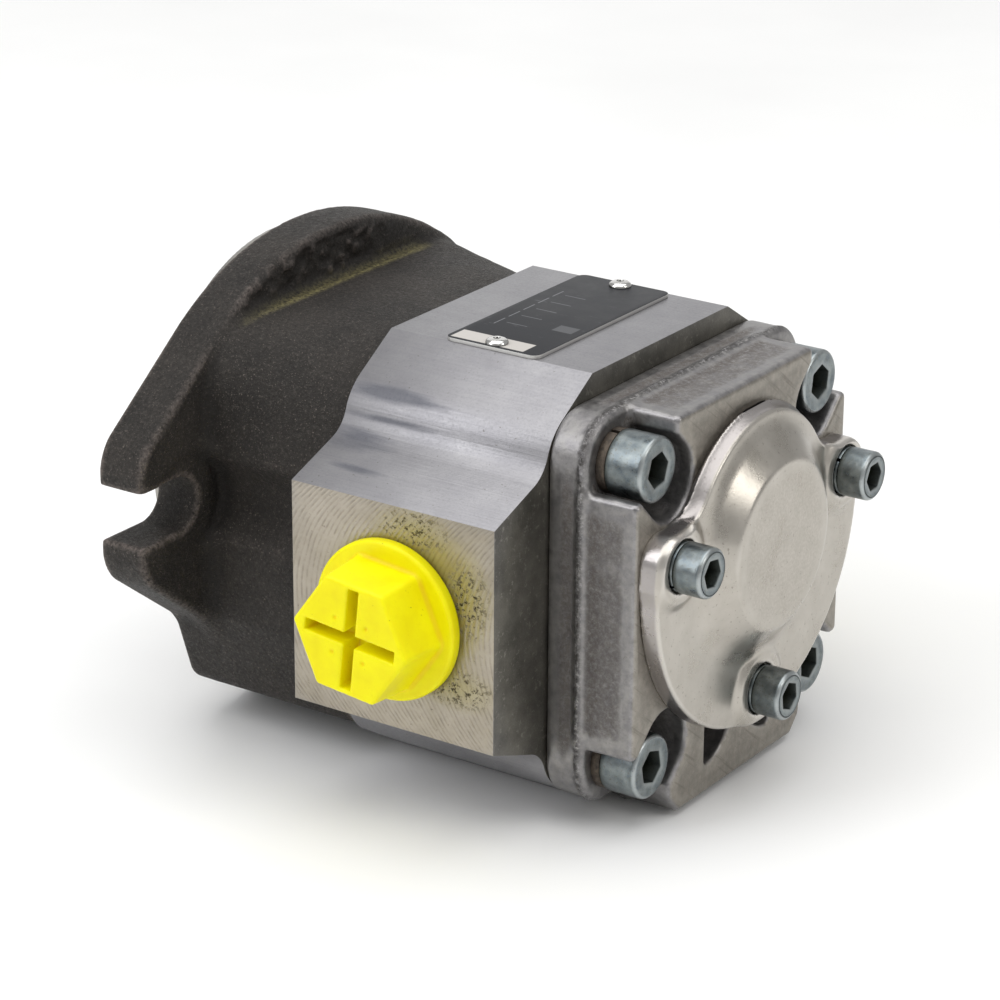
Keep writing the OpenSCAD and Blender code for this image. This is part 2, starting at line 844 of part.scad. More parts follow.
module seal_retaining_ring() {
    gap = 26;
    r1 = seal_r + clip_depth - 0.1;
    color("#6d7276")
        difference() {
            union() {
                ring_sector(seal_r - 1.6, r1, gap / 2 - 90, 270 - gap / 2, clip_x, clip_x + clip_t);
                for (s = [-1, 1])
                    bar(1.7, clip_x, clip_x + clip_t,
                        (seal_r - 2) * [cos(s * gap / 2 - 90), sin(s * gap / 2 - 90)]);
            }
            for (s = [-1, 1])
                bar(0.8, clip_x - 1, clip_x + clip_t + 1,
                    (seal_r - 2.2) * [cos(s * gap / 2 - 90), sin(s * gap / 2 - 90)]);
        }
}

module front_body_seal() {
    color("#26282a")
        round_ring(body_seal_r, ring_section, body_x + ring_section + 0.01, [0, center_z]);
}

module rear_body_seal() {
    color("#26282a")
        round_ring(body_seal_r, ring_section, cover_x - ring_section - 0.01, [0, center_z]);
}

module cap_seal() {
    color("#26282a")
        round_ring(spigot_r - ring_section + 0.03, ring_section, block_x - spigot_h / 2 + 0.1,
            [0, cap_z]);
}

module front_dowels() {
    color("#a4a9ad")
        for (p = dowel_at)
            bar(dowel_r, body_x - dowel_len / 2, body_x + dowel_len / 2, p);
}

module rear_dowels() {
    color("#a4a9ad")
        for (p = dowel_at)
            bar(dowel_r, cover_x - dowel_len / 2, cover_x + dowel_len / 2, p);
}

// ---- Port plugs and name plate ----

// Moulded transit plug: hollow thread, rim and tapered hexagon with a cross slot.
module port_plug(d, side) {
    rim_r = d / 2 + 2.8;
    hex_r = d / 2 + 0.5;
    slot = 2.4;
    turn = -6;
    translate([port_x, side * pad_reach, center_z])
        rotate([-90 * side, 0, 0])
            difference() {
                union() {
                    translate([0, 0, -plug_depth])
                        cylinder(r = d / 2 - thread_gap - 0.1, h = plug_depth + 1);
                    cylinder(r = rim_r, h = plug_rim_t);
                    translate([0, 0, plug_rim_t - eps])
                        rotate(turn)
                            cylinder(r1 = hex_r, r2 = hex_r * 0.953, h = plug_hex_h + eps, $fn = 6);
                }
                translate([0, 0, -plug_depth - 1])
                    cylinder(r = d / 2 - 2, h = plug_depth + 1);
                for (a = [turn, turn + 90])
                    rotate(a)
                        translate([-hex_r * 0.72, -slot / 2, plug_rim_t + plug_hex_h - 6])
                            cube([hex_r * 1.44, slot, 7]);
            }
}

module suction_plug() {
    color("#f3ea00")
        port_plug(suction_d, -1);
}

module pressure_plug() {
    color("#f3ea00")
        port_plug(pressure_d, 1);
}

module name_plate() {
    corner = 2;
    color("#3a3b3f")
        difference() {
            translate([port_x, plate_y, top_z])
                linear_extrude(plate_t) {
                    square([plate_w - 2 * corner, plate_len], center = true);
                    square([plate_w, plate_len - 2 * corner], center = true);
                    for (sx = [-1, 1], sy = [-1, 1])
                        translate([sx * (plate_w / 2 - corner), sy * (plate_len / 2 - corner)])
                            circle(corner);
                }
            for (s = [-1, 1])
                translate([port_x, plate_y + s * rivet_span / 2, top_z - 1])
                    cylinder(r = rivet_r + 0.1, h = 3);
        }
}

module plate_rivets() {
    base_z = top_z + plate_t;
    color("#c3c7ca")
        for (s = [-1, 1])
            translate([port_x, plate_y + s * rivet_span / 2, base_z])
                rotate_extrude()
                    polygon([[0, -plate_t - 4.5], [rivet_r, -plate_t - 4.5], [rivet_r, 0],
                        [rivet_head_r, 0], [rivet_head_r, 0.3], [1.7, 0.9], [0.9, 1.15], [0, 1.15]]);
}

front_housing();
port_body();
rear_cover();
end_cap();
corner_screws();
corner_lock_washers();
cap_screws();
cap_lock_washers();
pinion_shaft();
shaft_key();
ring_gear();
ring_liner();
filler_inner();
filler_outer();
filler_rollers();
filler_springs();
filler_stop_pin();
front_side_plate();
rear_side_plate();
front_plate_seal();
rear_plate_seal();
front_bush();
rear_bush();
shaft_seal();
seal_spring();
seal_retaining_ring();
front_body_seal();
rear_body_seal();
cap_seal();
front_dowels();
rear_dowels();
suction_plug();
pressure_plug();
name_plate();
plate_rivets();
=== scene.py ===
import json
import math
import bpy
import bmesh
import numpy as np
from mathutils import Matrix, Vector


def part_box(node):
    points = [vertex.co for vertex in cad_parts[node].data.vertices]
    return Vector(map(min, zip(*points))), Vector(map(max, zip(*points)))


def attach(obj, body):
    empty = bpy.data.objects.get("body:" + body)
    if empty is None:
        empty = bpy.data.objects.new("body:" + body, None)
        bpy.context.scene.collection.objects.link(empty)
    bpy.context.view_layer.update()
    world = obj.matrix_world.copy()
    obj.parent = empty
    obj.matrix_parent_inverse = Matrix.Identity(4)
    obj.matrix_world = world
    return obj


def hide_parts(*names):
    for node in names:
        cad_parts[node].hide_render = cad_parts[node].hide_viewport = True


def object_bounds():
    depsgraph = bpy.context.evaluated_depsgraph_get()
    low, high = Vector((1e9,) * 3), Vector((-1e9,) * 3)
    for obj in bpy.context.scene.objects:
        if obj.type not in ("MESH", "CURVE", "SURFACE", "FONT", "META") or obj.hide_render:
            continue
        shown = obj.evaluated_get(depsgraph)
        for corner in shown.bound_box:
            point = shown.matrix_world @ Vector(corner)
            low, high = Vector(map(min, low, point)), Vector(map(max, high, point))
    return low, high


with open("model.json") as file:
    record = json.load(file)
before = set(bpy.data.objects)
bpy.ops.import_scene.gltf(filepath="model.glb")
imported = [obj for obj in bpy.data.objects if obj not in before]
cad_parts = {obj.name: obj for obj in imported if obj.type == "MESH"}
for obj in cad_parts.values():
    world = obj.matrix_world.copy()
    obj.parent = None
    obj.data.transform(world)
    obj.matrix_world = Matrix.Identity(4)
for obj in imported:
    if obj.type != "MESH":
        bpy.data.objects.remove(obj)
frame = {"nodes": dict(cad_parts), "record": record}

# Internal gear pump. Everything below is worked out in millimetres and turned to metres when a mesh is made.
mm = 0.001
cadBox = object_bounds()
rng = np.random.default_rng(41)
print("stage: frame loaded")


def corners(node):
    low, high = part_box(node)
    return np.array(low) / mm, np.array(high) / mm


# Stations along the shaft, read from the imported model
bodyLow, bodyHigh = corners("port_body")
coverLow, coverHigh = corners("rear_cover")
capLow, capHigh = corners("end_cap")
housingLow, housingHigh = corners("front_housing")
bodyX, coverX, bodyZ = bodyLow[0], bodyHigh[0], bodyHigh[2]
portX = (bodyX + coverX) / 2
centreZ = (bodyLow[2] + bodyHigh[2]) / 2
padY = bodyHigh[1]


# ---- camera ----

cameraAt = {
    "place": (0.43029, -0.55991, 0.25560),
    "right": (0.826370, 0.563099, 0.005581),
    "up": (-0.207891, 0.295848, 0.932339),
    "back": (0.523348, -0.771617, 0.361543),
    "lens": 128.587,
    "sensor": 36,
}


def makeCamera():
    data = bpy.data.cameras.new("viewCamera")
    data.lens = cameraAt["lens"]
    data.sensor_width = cameraAt["sensor"]
    data.clip_start = 0.02
    data.clip_end = 20
    camera = bpy.data.objects.new("viewCamera", data)
    bpy.context.collection.objects.link(camera)
    axes = Matrix((cameraAt["right"], cameraAt["up"], cameraAt["back"])).transposed()
    camera.matrix_world = Matrix.Translation(cameraAt["place"]) @ axes.to_4x4()
    bpy.context.scene.camera = camera


makeCamera()
bpy.context.scene.view_settings.view_transform = "Standard"


# ---- small helpers for materials ----

def linear(hexColour):
    channels = [int(hexColour[i:i + 2], 16) / 255 for i in (1, 3, 5)]
    straight = [c / 12.92 if c <= 0.04045 else ((c + 0.055) / 1.055) ** 2.4 for c in channels]
    return (*straight, 1)


def perMetre(sizeMm):
    return 1000 / sizeMm  # pattern scale whose features are sizeMm across


def addNode(tree, kind, settings=None, links=None):
    node = tree.nodes.new(kind)
    for name, value in (settings or {}).items():
        if isinstance(name, str) and hasattr(node, name):
            setattr(node, name, value)
        else:
            node.inputs[name].default_value = value
    for name, socket in (links or {}).items():
        tree.links.new(socket, node.inputs[name])
    return node


def startMaterial(name, shader):
    material = bpy.data.materials.new(name)
    material.use_nodes = True
    tree = material.node_tree
    tree.nodes.clear()
    surface = addNode(tree, "ShaderNodeBsdfPrincipled", shader)
    addNode(tree, "ShaderNodeOutputMaterial", links={"Surface": surface.outputs[0]})
    where = addNode(tree, "ShaderNodeTexCoord").outputs["Object"]
    return material, tree, surface, where


def blend(tree, amount, first, second):
    node = addNode(tree, "ShaderNodeMix", {"data_type": "RGBA"})
    for index, value in ((0, amount), (6, first), (7, second)):
        if hasattr(value, "links"):
            tree.links.new(value, node.inputs[index])
        else:
            node.inputs[index].default_value = value
    return node.outputs[2]


def sums(tree, operation, first, second=None, third=None, clamp=False):
    node = addNode(tree, "ShaderNodeMath", {"operation": operation, "use_clamp": clamp})
    for index, value in enumerate((first, second, third)):
        if value is None:
            continue
        if hasattr(value, "links"):
            tree.links.new(value, node.inputs[index])
        else:
            node.inputs[index].default_value = value
    return node.outputs[0]


def ramp(tree, value, low, high, toLow=0.0, toHigh=1.0):
    return addNode(tree, "ShaderNodeMapRange", {"From Min": low, "From Max": high,
                   "To Min": toLow, "To Max": toHigh}, {"Value": value}).outputs[0]


def cloud(tree, where, sizeMm, detail=4, rough=0.6, stretch=None, shift=(0, 0, 0)):
    at = where
    if stretch or shift != (0, 0, 0):
        at = addNode(tree, "ShaderNodeMapping", {"Scale": stretch or (1, 1, 1), "Location": shift},
                     {"Vector": where}).outputs[0]
    return addNode(tree, "ShaderNodeTexNoise", {"Scale": perMetre(sizeMm), "Detail": detail,
                   "Roughness": rough}, {"Vector": at}).outputs[0]


def cells(tree, where, sizeMm, spread=1.0):
    return addNode(tree, "ShaderNodeTexVoronoi", {"Scale": perMetre(sizeMm), "Randomness": spread},
                   {"Vector": where}).outputs["Distance"]


def painted(tree, name):
    return addNode(tree, "ShaderNodeAttribute", {"attribute_name": name}).outputs["Fac"]


def bump(tree, surface, heights):
    # heights: (height in mm, socket) pairs, the coarsest first
    normal = None
    for height, socket in heights:
        node = addNode(tree, "ShaderNodeBump", {"Strength": 1.0, "Distance": height * mm},
                       {"Height": socket})
        if normal:
            tree.links.new(normal, node.inputs["Normal"])
        normal = node.outputs[0]
    tree.links.new(normal, surface.inputs["Normal"])


def turnedRings(tree, where, spacingMm, centre=(0, 0)):
    # fine circles about an axis along the shaft, as a lathe or a face mill leaves
    apart = addNode(tree, "ShaderNodeSeparateXYZ", links={0: where})
    y = sums(tree, "SUBTRACT", apart.outputs[1], centre[0] * mm)
    z = sums(tree, "SUBTRACT", apart.outputs[2], centre[1] * mm)
    radius = sums(tree, "SQRT", sums(tree, "ADD", sums(tree, "MULTIPLY", y, y),
                                     sums(tree, "MULTIPLY", z, z)))
    return sums(tree, "SINE", sums(tree, "MULTIPLY", radius, 2 * math.pi * perMetre(spacingMm)))


# ---- materials ----

def sandCastIron():
    # Sand-cast grey iron, oiled: dark brown grey with a fine grain and a painted sparkle, paler where handling has
    # rubbed the edges, khaki dust in the fillet, painted shade in the hollows and the pocket behind the flange, and
    # bare turned metal on the faces that seal.
    material, tree, surface, where = startMaterial("castIronSandCast", {"Metallic": 0.0, "Roughness": 0.6,
                                                   "Specular IOR Level": 0.32})
    edge, hollow, machined = painted(tree, "edge"), painted(tree, "hollow"), painted(tree, "machined")
    broad, grain, pits = cloud(tree, where, 14), cloud(tree, where, 0.75, 4, 0.65), cloud(tree, where, 0.35, 3, 0.7)
    skin = blend(tree, ramp(tree, broad, 0.35, 0.68), linear("#221f1c"), linear("#312d29"))
    skin = blend(tree, ramp(tree, grain, 0.56, 0.74, 0, 0.5), skin, linear("#57504a"))
    # painted highlight: pale specks stand in for glints off the grain
    skin = blend(tree, ramp(tree, pits, 0.60, 0.72, 0, 0.75), skin, linear("#8d827a"))
    skin = blend(tree, ramp(tree, grain, 0.45, 0.30, 0, 0.6), skin, linear("#1a1816"))
    rub = sums(tree, "MULTIPLY", ramp(tree, edge, 0.05, 0.26), ramp(tree, grain, 0.32, 0.60))
    skin = blend(tree, sums(tree, "MULTIPLY", rub, 0.7), skin, linear("#7d726c"))
    dust = sums(tree, "MULTIPLY", ramp(tree, painted(tree, "dust"), 0.05, 0.8), ramp(tree, grain, 0.34, 0.58))
    skin = blend(tree, sums(tree, "MULTIPLY", dust, 0.9), skin, linear("#9b9263"))
    # painted shade: near black in the hollows and in the pocket behind the flange along the top
    hollowShade = sums(tree, "MAXIMUM", ramp(tree, hollow, 0.02, 0.14, 0, 0.6), sums(tree, "MULTIPLY", painted(tree, "pocket"), 0.6))
    skin = blend(tree, hollowShade, skin, linear("#14110f"))
    rings = turnedRings(tree, where, 0.9)
    bare = blend(tree, ramp(tree, cloud(tree, where, 5), 0.3, 0.7), linear("#8f8d89"), linear("#a8a49d"))
    tree.links.new(blend(tree, machined, skin, bare), surface.inputs["Base Color"])
    tree.links.new(ramp(tree, machined, 0, 1, 0.0, 0.95), surface.inputs["Metallic"])
    dull = ramp(tree, grain, 0.3, 0.7, 0.72, 0.46)
    tree.links.new(sums(tree, "MULTIPLY", dull, ramp(tree, machined, 0, 1, 1, 0.6)), surface.inputs["Roughness"])
    asCast = sums(tree, "SUBTRACT", 1.0, machined)
    bump(tree, surface, [(0.40, sums(tree, "MULTIPLY", grain, asCast)), (0.22, sums(tree, "MULTIPLY", pits, asCast)),
                         (0.012, sums(tree, "MULTIPLY", rings, machined))])
    return material


# smears on the near shoulder: start, end along the shaft, height, half width
grease = ((38, 63, 26.8, 1.3), (39, 64, 22.4, 0.9), (38, 56, 19.0, 1.6), (46, 58, 16.0, 0.4))
# pitted places on the near pad: position along the shaft, height, half width, half height
pitSpots = ((70, 9.7, 8, 4), (82.2, -1.8, 5, 8), (80, -20, 8, 4))


def extrudedAluminium():
    # Extruded and then milled aluminium: pale grey, drawn lines along the shaft on the sides, arcs of a
    # face mill on the port pads, dark smears on the shoulder, a few dirty pits beside the port, and painted shade on
    # the end faces.
    material, tree, surface, where = startMaterial("aluminiumExtruded", {"Metallic": 0.92, "Roughness": 0.4})
    apart = addNode(tree, "ShaderNodeSeparateXYZ", links={0: where})
    x, y, z = apart.outputs
    facing = addNode(tree, "ShaderNodeSeparateXYZ",
                     links={0: addNode(tree, "ShaderNodeTexCoord").outputs["Normal"]})
    side = sums(tree, "ABSOLUTE", facing.outputs[1])
    onPad = ramp(tree, side, 0.93, 0.985)
    onEnd = ramp(tree, sums(tree, "ABSOLUTE", facing.outputs[0]), 0.9, 0.98)
    drawn = cloud(tree, where, 0.5, 4, 0.6, (0.018, 1, 1))
    blotch, fine = cloud(tree, where, 9, 5), cloud(tree, where, 0.5, 3, 0.7)
    tone = blend(tree, ramp(tree, blotch, 0.3, 0.72), linear("#929194"), linear("#a09fa1"))
    tone = blend(tree, ramp(tree, fine, 0.55, 0.70, 0, 0.35), tone, linear("#87868a"))
    tone = blend(tree, ramp(tree, drawn, 0.45, 0.66, 0, 0.22), tone, linear("#858489"))
    padTone = blend(tree, ramp(tree, blotch, 0.3, 0.7), linear("#a1998b"), linear("#b5ada1"))
    tone = blend(tree, onPad, tone, padTone)
    # arcs that a face mill of 60 mm leaves as it is fed along, 1.15 mm apart
    high = sums(tree, "SUBTRACT", z, centreZ * mm)
    bow = sums(tree, "SQRT", sums(tree, "SUBTRACT", 0.030 ** 2, sums(tree, "MULTIPLY", high, high)))
    wobble = sums(tree, "MULTIPLY", cloud(tree, where, 6, 2), 0.0008)
    along = sums(tree, "ADD", sums(tree, "ADD", x, bow), wobble)
    arcs = sums(tree, "SINE", sums(tree, "MULTIPLY", along, 2 * math.pi * perMetre(1.15)))
    arcs = sums(tree, "MULTIPLY", arcs, ramp(tree, cloud(tree, where, 2.5, 3), 0.35, 0.65))
    tone = blend(tree, sums(tree, "MULTIPLY", ramp(tree, arcs, 0.0, 0.9, 0, 0.45), onPad), tone, linear("#746c61"))
    # pits and yellow film beside the near port
    nearPort = None
    for spotX, spotZ, halfX, halfZ in pitSpots:
        u = sums(tree, "MULTIPLY", sums(tree, "SUBTRACT", x, spotX * mm), 1000 / halfX)
        v = sums(tree, "MULTIPLY", sums(tree, "SUBTRACT", z, spotZ * mm), 1000 / halfZ)
        away = sums(tree, "SQRT", sums(tree, "ADD", sums(tree, "MULTIPLY", u, u), sums(tree, "MULTIPLY", v, v)))
        one = ramp(tree, away, 1.3, 0.2)
        nearPort = sums(tree, "MAXIMUM", nearPort, one) if nearPort else one
    nearPort = sums(tree, "MULTIPLY", sums(tree, "MULTIPLY", nearPort, onPad), ramp(tree, y, 0.01, -0.01))
    pitted = sums(tree, "MULTIPLY", ramp(tree, cloud(tree, where, 0.9, 4, 0.75), 0.54, 0.62),
                  ramp(tree, nearPort, 0.15, 0.8, 0.0, 1.0))
    tone = blend(tree, sums(tree, "MULTIPLY", nearPort, 0.35), tone, linear("#a0963c"))
    tone = blend(tree, sums(tree, "MULTIPLY", pitted, 0.85), tone, linear("#332c22"))
    # smears of black grease drawn along the shoulder, each with a ragged end
    smear = None
    ragged = sums(tree, "MULTIPLY", sums(tree, "SUBTRACT", cloud(tree, where, 3, 5, 0.65, (0.14, 1, 1)), 0.5), 1.9)
    for startX, endX, middleZ, halfZ in grease:
        alongIt = sums(tree, "MULTIPLY", sums(tree, "SUBTRACT", x, (startX + endX) / 2 * mm), 2000 / (endX - startX))
        acrossIt = sums(tree, "MULTIPLY", sums(tree, "SUBTRACT", z, middleZ * mm), 1000 / halfZ)
        spot = sums(tree, "SQRT", sums(tree, "ADD", sums(tree, "POWER", sums(tree, "ABSOLUTE", alongIt), 2),
                                       sums(tree, "POWER", sums(tree, "ABSOLUTE", acrossIt), 2)))
        one = ramp(tree, sums(tree, "ADD", spot, ragged), 1.15, 0.35)
        smear = sums(tree, "MAXIMUM", smear, one) if smear else one
    smear = sums(tree, "MULTIPLY", smear, ramp(tree, y, -0.026, -0.029))
    tone = blend(tree, sums(tree, "MULTIPLY", smear, 0.6), tone, linear("#565963"))
    specks = ramp(tree, cloud(tree, where, 0.8, 2, 0.5, None, (0.7, 0, 0)), 0.70, 0.76, 0, 0.5)
    tone = blend(tree, specks, tone, linear("#5c5650"))
    # painted shade: the end faces darker all over, with a few paler flecks
    endShade = blend(tree, ramp(tree, blotch, 0.35, 0.65), linear("#56544e"), linear("#75726a"))
    endShade = blend(tree, ramp(tree, cloud(tree, where, 1.2, 4, 0.7), 0.58, 0.70, 0, 0.5), endShade, linear("#a19d94"))
    tone = blend(tree, onEnd, tone, endShade)
    tree.links.new(tone, surface.inputs["Base Color"])
    rough = sums(tree, "ADD", ramp(tree, fine, 0.3, 0.7, 0.38, 0.52), sums(tree, "MULTIPLY", smear, 0.15))
    tree.links.new(rough, surface.inputs["Roughness"])
    offPad = sums(tree, "SUBTRACT", 1.0, onPad)
    bump(tree, surface, [(0.06, sums(tree, "MULTIPLY", drawn, offPad)), (0.035, sums(tree, "MULTIPLY", arcs, onPad)),
                         (0.25, sums(tree, "MULTIPLY", pitted, -1.0)), (0.03, fine)])
    return material


def dieCastAluminium():
    # Die-cast aluminium: mid grey, slightly mottled skin with bright rubbed edges, brown grit packed
    # into the corners, and a milled end face with crossing scratches.
    material, tree, surface, where = startMaterial("aluminiumDieCast", {"Metallic": 0.85, "Roughness": 0.45})
    edge, hollow, machined = painted(tree, "edge"), painted(tree, "hollow"), painted(tree, "machined")
    mottle, fine, grit = cloud(tree, where, 2.2, 5, 0.65), cloud(tree, where, 0.5, 3), cloud(tree, where, 0.9, 4, 0.8)
    skin = blend(tree, ramp(tree, mottle, 0.36, 0.66), linear("#7d7b7c"), linear("#989694"))
    skin = blend(tree, ramp(tree, grit, 0.60, 0.70, 0, 0.5), skin, linear("#5d5852"))
    face = blend(tree, ramp(tree, mottle, 0.35, 0.68), linear("#86827a"), linear("#a09a91"))
    scratch = cloud(tree, where, 0.7, 2, 0.5, (1, 0.7, 0.05))
    turnedAt = addNode(tree, "ShaderNodeMapping", {"Rotation": (math.radians(38), 0, 0)}, {"Vector": where}).outputs[0]
    crossed = cloud(tree, turnedAt, 0.8, 3, 0.6, (1, 0.04, 1))
    face = blend(tree, ramp(tree, crossed, 0.58, 0.66, 0, 0.45), face, linear("#6a645c"))
    seam = sums(tree, "MULTIPLY", painted(tree, "seam"), ramp(tree, grit, 0.40, 0.55))
    skin = blend(tree, sums(tree, "MULTIPLY", seam, 0.8), skin, linear("#2c2926"))
    glint = sums(tree, "MULTIPLY", painted(tree, "seam"), ramp(tree, grit, 0.42, 0.34))
    skin = blend(tree, sums(tree, "MULTIPLY", glint, 0.7), skin, linear("#c4c1bd"))
    skin = blend(tree, machined, skin, face)
    rub = sums(tree, "MULTIPLY", ramp(tree, edge, 0.10, 0.30), ramp(tree, mottle, 0.30, 0.60))
    skin = blend(tree, sums(tree, "MULTIPLY", rub, 0.6), skin, linear("#b3b1b4"))
    packed = sums(tree, "MULTIPLY", ramp(tree, hollow, 0.015, 0.10), ramp(tree, grit, 0.32, 0.55))
    packed = sums(tree, "MULTIPLY", packed, ramp(tree, machined, 0, 1, 1, 0.25))
    skin = blend(tree, sums(tree, "MULTIPLY", packed, 0.7), skin, linear("#40362c"))
    tree.links.new(skin, surface.inputs["Base Color"])
    rough = sums(tree, "ADD", ramp(tree, mottle, 0.3, 0.7, 0.32, 0.46), sums(tree, "MULTIPLY", packed, 0.3), clamp=True)
    tree.links.new(rough, surface.inputs["Roughness"])
    tree.links.new(sums(tree, "SUBTRACT", 0.85, sums(tree, "MULTIPLY", packed, 0.7)), surface.inputs["Metallic"])
    bump(tree, surface, [(0.10, mottle), (0.12, sums(tree, "MULTIPLY", grit, packed)),
                         (0.45, sums(tree, "MULTIPLY", grit, painted(tree, "seam"))), (0.03, fine),
                         (0.02, sums(tree, "MULTIPLY", scratch, machined))])
    return material


def satinCastAluminium():
    # Cast aluminium cap, tumbled and satin: warm light grey with soft reflections, tiny dark specks, a
    # milled rim with slanting marks, and a thin dirty line in each inner corner.
    material, tree, surface, where = startMaterial("aluminiumCastSatin", {"Metallic": 0.9, "Roughness": 0.34})
    edge, hollow, rim = painted(tree, "edge"), painted(tree, "hollow"), painted(tree, "machined")
    blotch, fine = cloud(tree, where, 7, 5, 0.6), cloud(tree, where, 0.6, 3)
    specks = ramp(tree, cloud(tree, where, 0.7, 2, 0.5), 0.66, 0.74)
    tone = blend(tree, ramp(tree, blotch, 0.3, 0.7), linear("#aea9a0"), linear("#bfbab2"))
    tone = blend(tree, rim, tone, linear("#aaa5a3"))
    tone = blend(tree, sums(tree, "MULTIPLY", specks, 0.5), tone, linear("#6f675d"))
    tone = blend(tree, ramp(tree, edge, 0.10, 0.3, 0, 0.6), tone, linear("#d8d4ce"))
    recessDark = sums(tree, "MULTIPLY", ramp(tree, hollow, 0.03, 0.16), ramp(tree, fine, 0.35, 0.6))
    tone = blend(tree, sums(tree, "MULTIPLY", recessDark, 0.5), tone, linear("#6b5f4e"))
    tree.links.new(tone, surface.inputs["Base Color"])
    tree.links.new(ramp(tree, blotch, 0.3, 0.7, 0.25, 0.34), surface.inputs["Roughness"])
    slant = addNode(tree, "ShaderNodeMapping", {"Rotation": (0.5, 0.3, 0.6)}, {"Vector": where}).outputs[0]
    marks = cloud(tree, slant, 0.5, 3, 0.6, (0.05, 1, 1))
    bump(tree, surface, [(0.05, blotch), (0.03, sums(tree, "MULTIPLY", marks, rim)), (0.015, fine)])
    return material


def zincPlatedSteel():
    # Zinc-plated steel screws: bright bluish grey with cloudy patches, and dark olive painted shade down in the
    # sockets and where a head meets its washer.
    material, tree, surface, where = startMaterial("steelZincPlated", {"Metallic": 1.0, "Roughness": 0.3})
    patch, fine = cloud(tree, where, 2.0, 5, 0.65), cloud(tree, where, 0.5, 3, 0.7)
    tone = blend(tree, ramp(tree, patch, 0.35, 0.68), linear("#656e73"), linear("#949b9b"))
    tone = blend(tree, ramp(tree, fine, 0.54, 0.68, 0, 0.6), tone, linear("#5b5850"))
    tone = blend(tree, ramp(tree, painted(tree, "edge"), 0.2, 0.8, 0, 0.6), tone, linear("#c4c9c9"))
    # painted shade: dark olive down in each socket and under the head where it meets its washer
    recessDark = sums(tree, "MULTIPLY", painted(tree, "recessDark"), ramp(tree, patch, 0.25, 0.55, 0.6, 1.0))
    tone = blend(tree, recessDark, tone, linear("#373a2c"))
    tree.links.new(tone, surface.inputs["Base Color"])
    rough = sums(tree, "ADD", ramp(tree, patch, 0.3, 0.7, 0.24, 0.42), sums(tree, "MULTIPLY", recessDark, 0.35))
    tree.links.new(rough, surface.inputs["Roughness"])
    bump(tree, surface, [(0.03, patch), (0.03, fine)])
    return material


def phosphatedSpringSteel():
    # Spring steel, phosphated: dark grey with rust brown in the pores
    material, tree, surface, where = startMaterial("springSteelPhosphated", {"Metallic": 0.6, "Roughness": 0.55})
    patch = cloud(tree, where, 1.2, 5, 0.7)
    tone = blend(tree, ramp(tree, patch, 0.35, 0.65), linear("#3a342f"), linear("#62584d"))
    tree.links.new(tone, surface.inputs["Base Color"])
    bump(tree, surface, [(0.08, patch)])
    return material


def groundHardenedSteel():
    # Hardened steel, ground: smooth silver grey with fine rings round the axis and a trace of oil
    material, tree, surface, where = startMaterial("steelHardenedGround", {"Metallic": 1.0, "Roughness": 0.22})
    lines = cloud(tree, where, 0.4, 3, 0.6, (1, 0.06, 0.06))
    film = cloud(tree, where, 6, 4)
    tone = blend(tree, ramp(tree, film, 0.3, 0.7), linear("#b4b5b6"), linear("#cfd0d0"))
    tree.links.new(tone, surface.inputs["Base Color"])
    tree.links.new(ramp(tree, film, 0.3, 0.7, 0.18, 0.32), surface.inputs["Roughness"])
    bump(tree, surface, [(0.01, lines)])
    return material


def machinedBronze():
    # Bearing bronze, turned: warm brown gold with fine lathe lines
    material, tree, surface, where = startMaterial("bronzeTurned", {"Metallic": 1.0, "Roughness": 0.33})
    lines, film = cloud(tree, where, 0.5, 3, 0.6, (1, 0.06, 0.06)), cloud(tree, where, 4, 4)
    tree.links.new(blend(tree, ramp(tree, film, 0.3, 0.7), linear("#a57f45"), linear("#c29a5c")),
                   surface.inputs["Base Color"])
    bump(tree, surface, [(0.012, lines)])
    return material


def lappedBrass():
    # Side plate brass, lapped: yellow gold with a very fine crossed haze
    material, tree, surface, where = startMaterial("brassLapped", {"Metallic": 1.0, "Roughness": 0.28})
    haze, film = cloud(tree, where, 0.5, 4, 0.8), cloud(tree, where, 5, 4)
    tree.links.new(blend(tree, ramp(tree, film, 0.3, 0.7), linear("#b5904e"), linear("#cfae6c")),
                   surface.inputs["Base Color"])
    bump(tree, surface, [(0.008, haze)])
    return material


def nitrileRubber():
    # Nitrile rubber, moulded: matt black with a faint bloom
    material, tree, surface, where = startMaterial("rubberNitrile", {"Metallic": 0.0, "Roughness": 0.62, "IOR": 1.52})
    bloom = cloud(tree, where, 3, 4)
    tree.links.new(blend(tree, ramp(tree, bloom, 0.35, 0.7), linear("#1c1d1e"), linear("#2c2d2e")),
                   surface.inputs["Base Color"])
    bump(tree, surface, [(0.03, cloud(tree, where, 0.6, 3))])
    return material


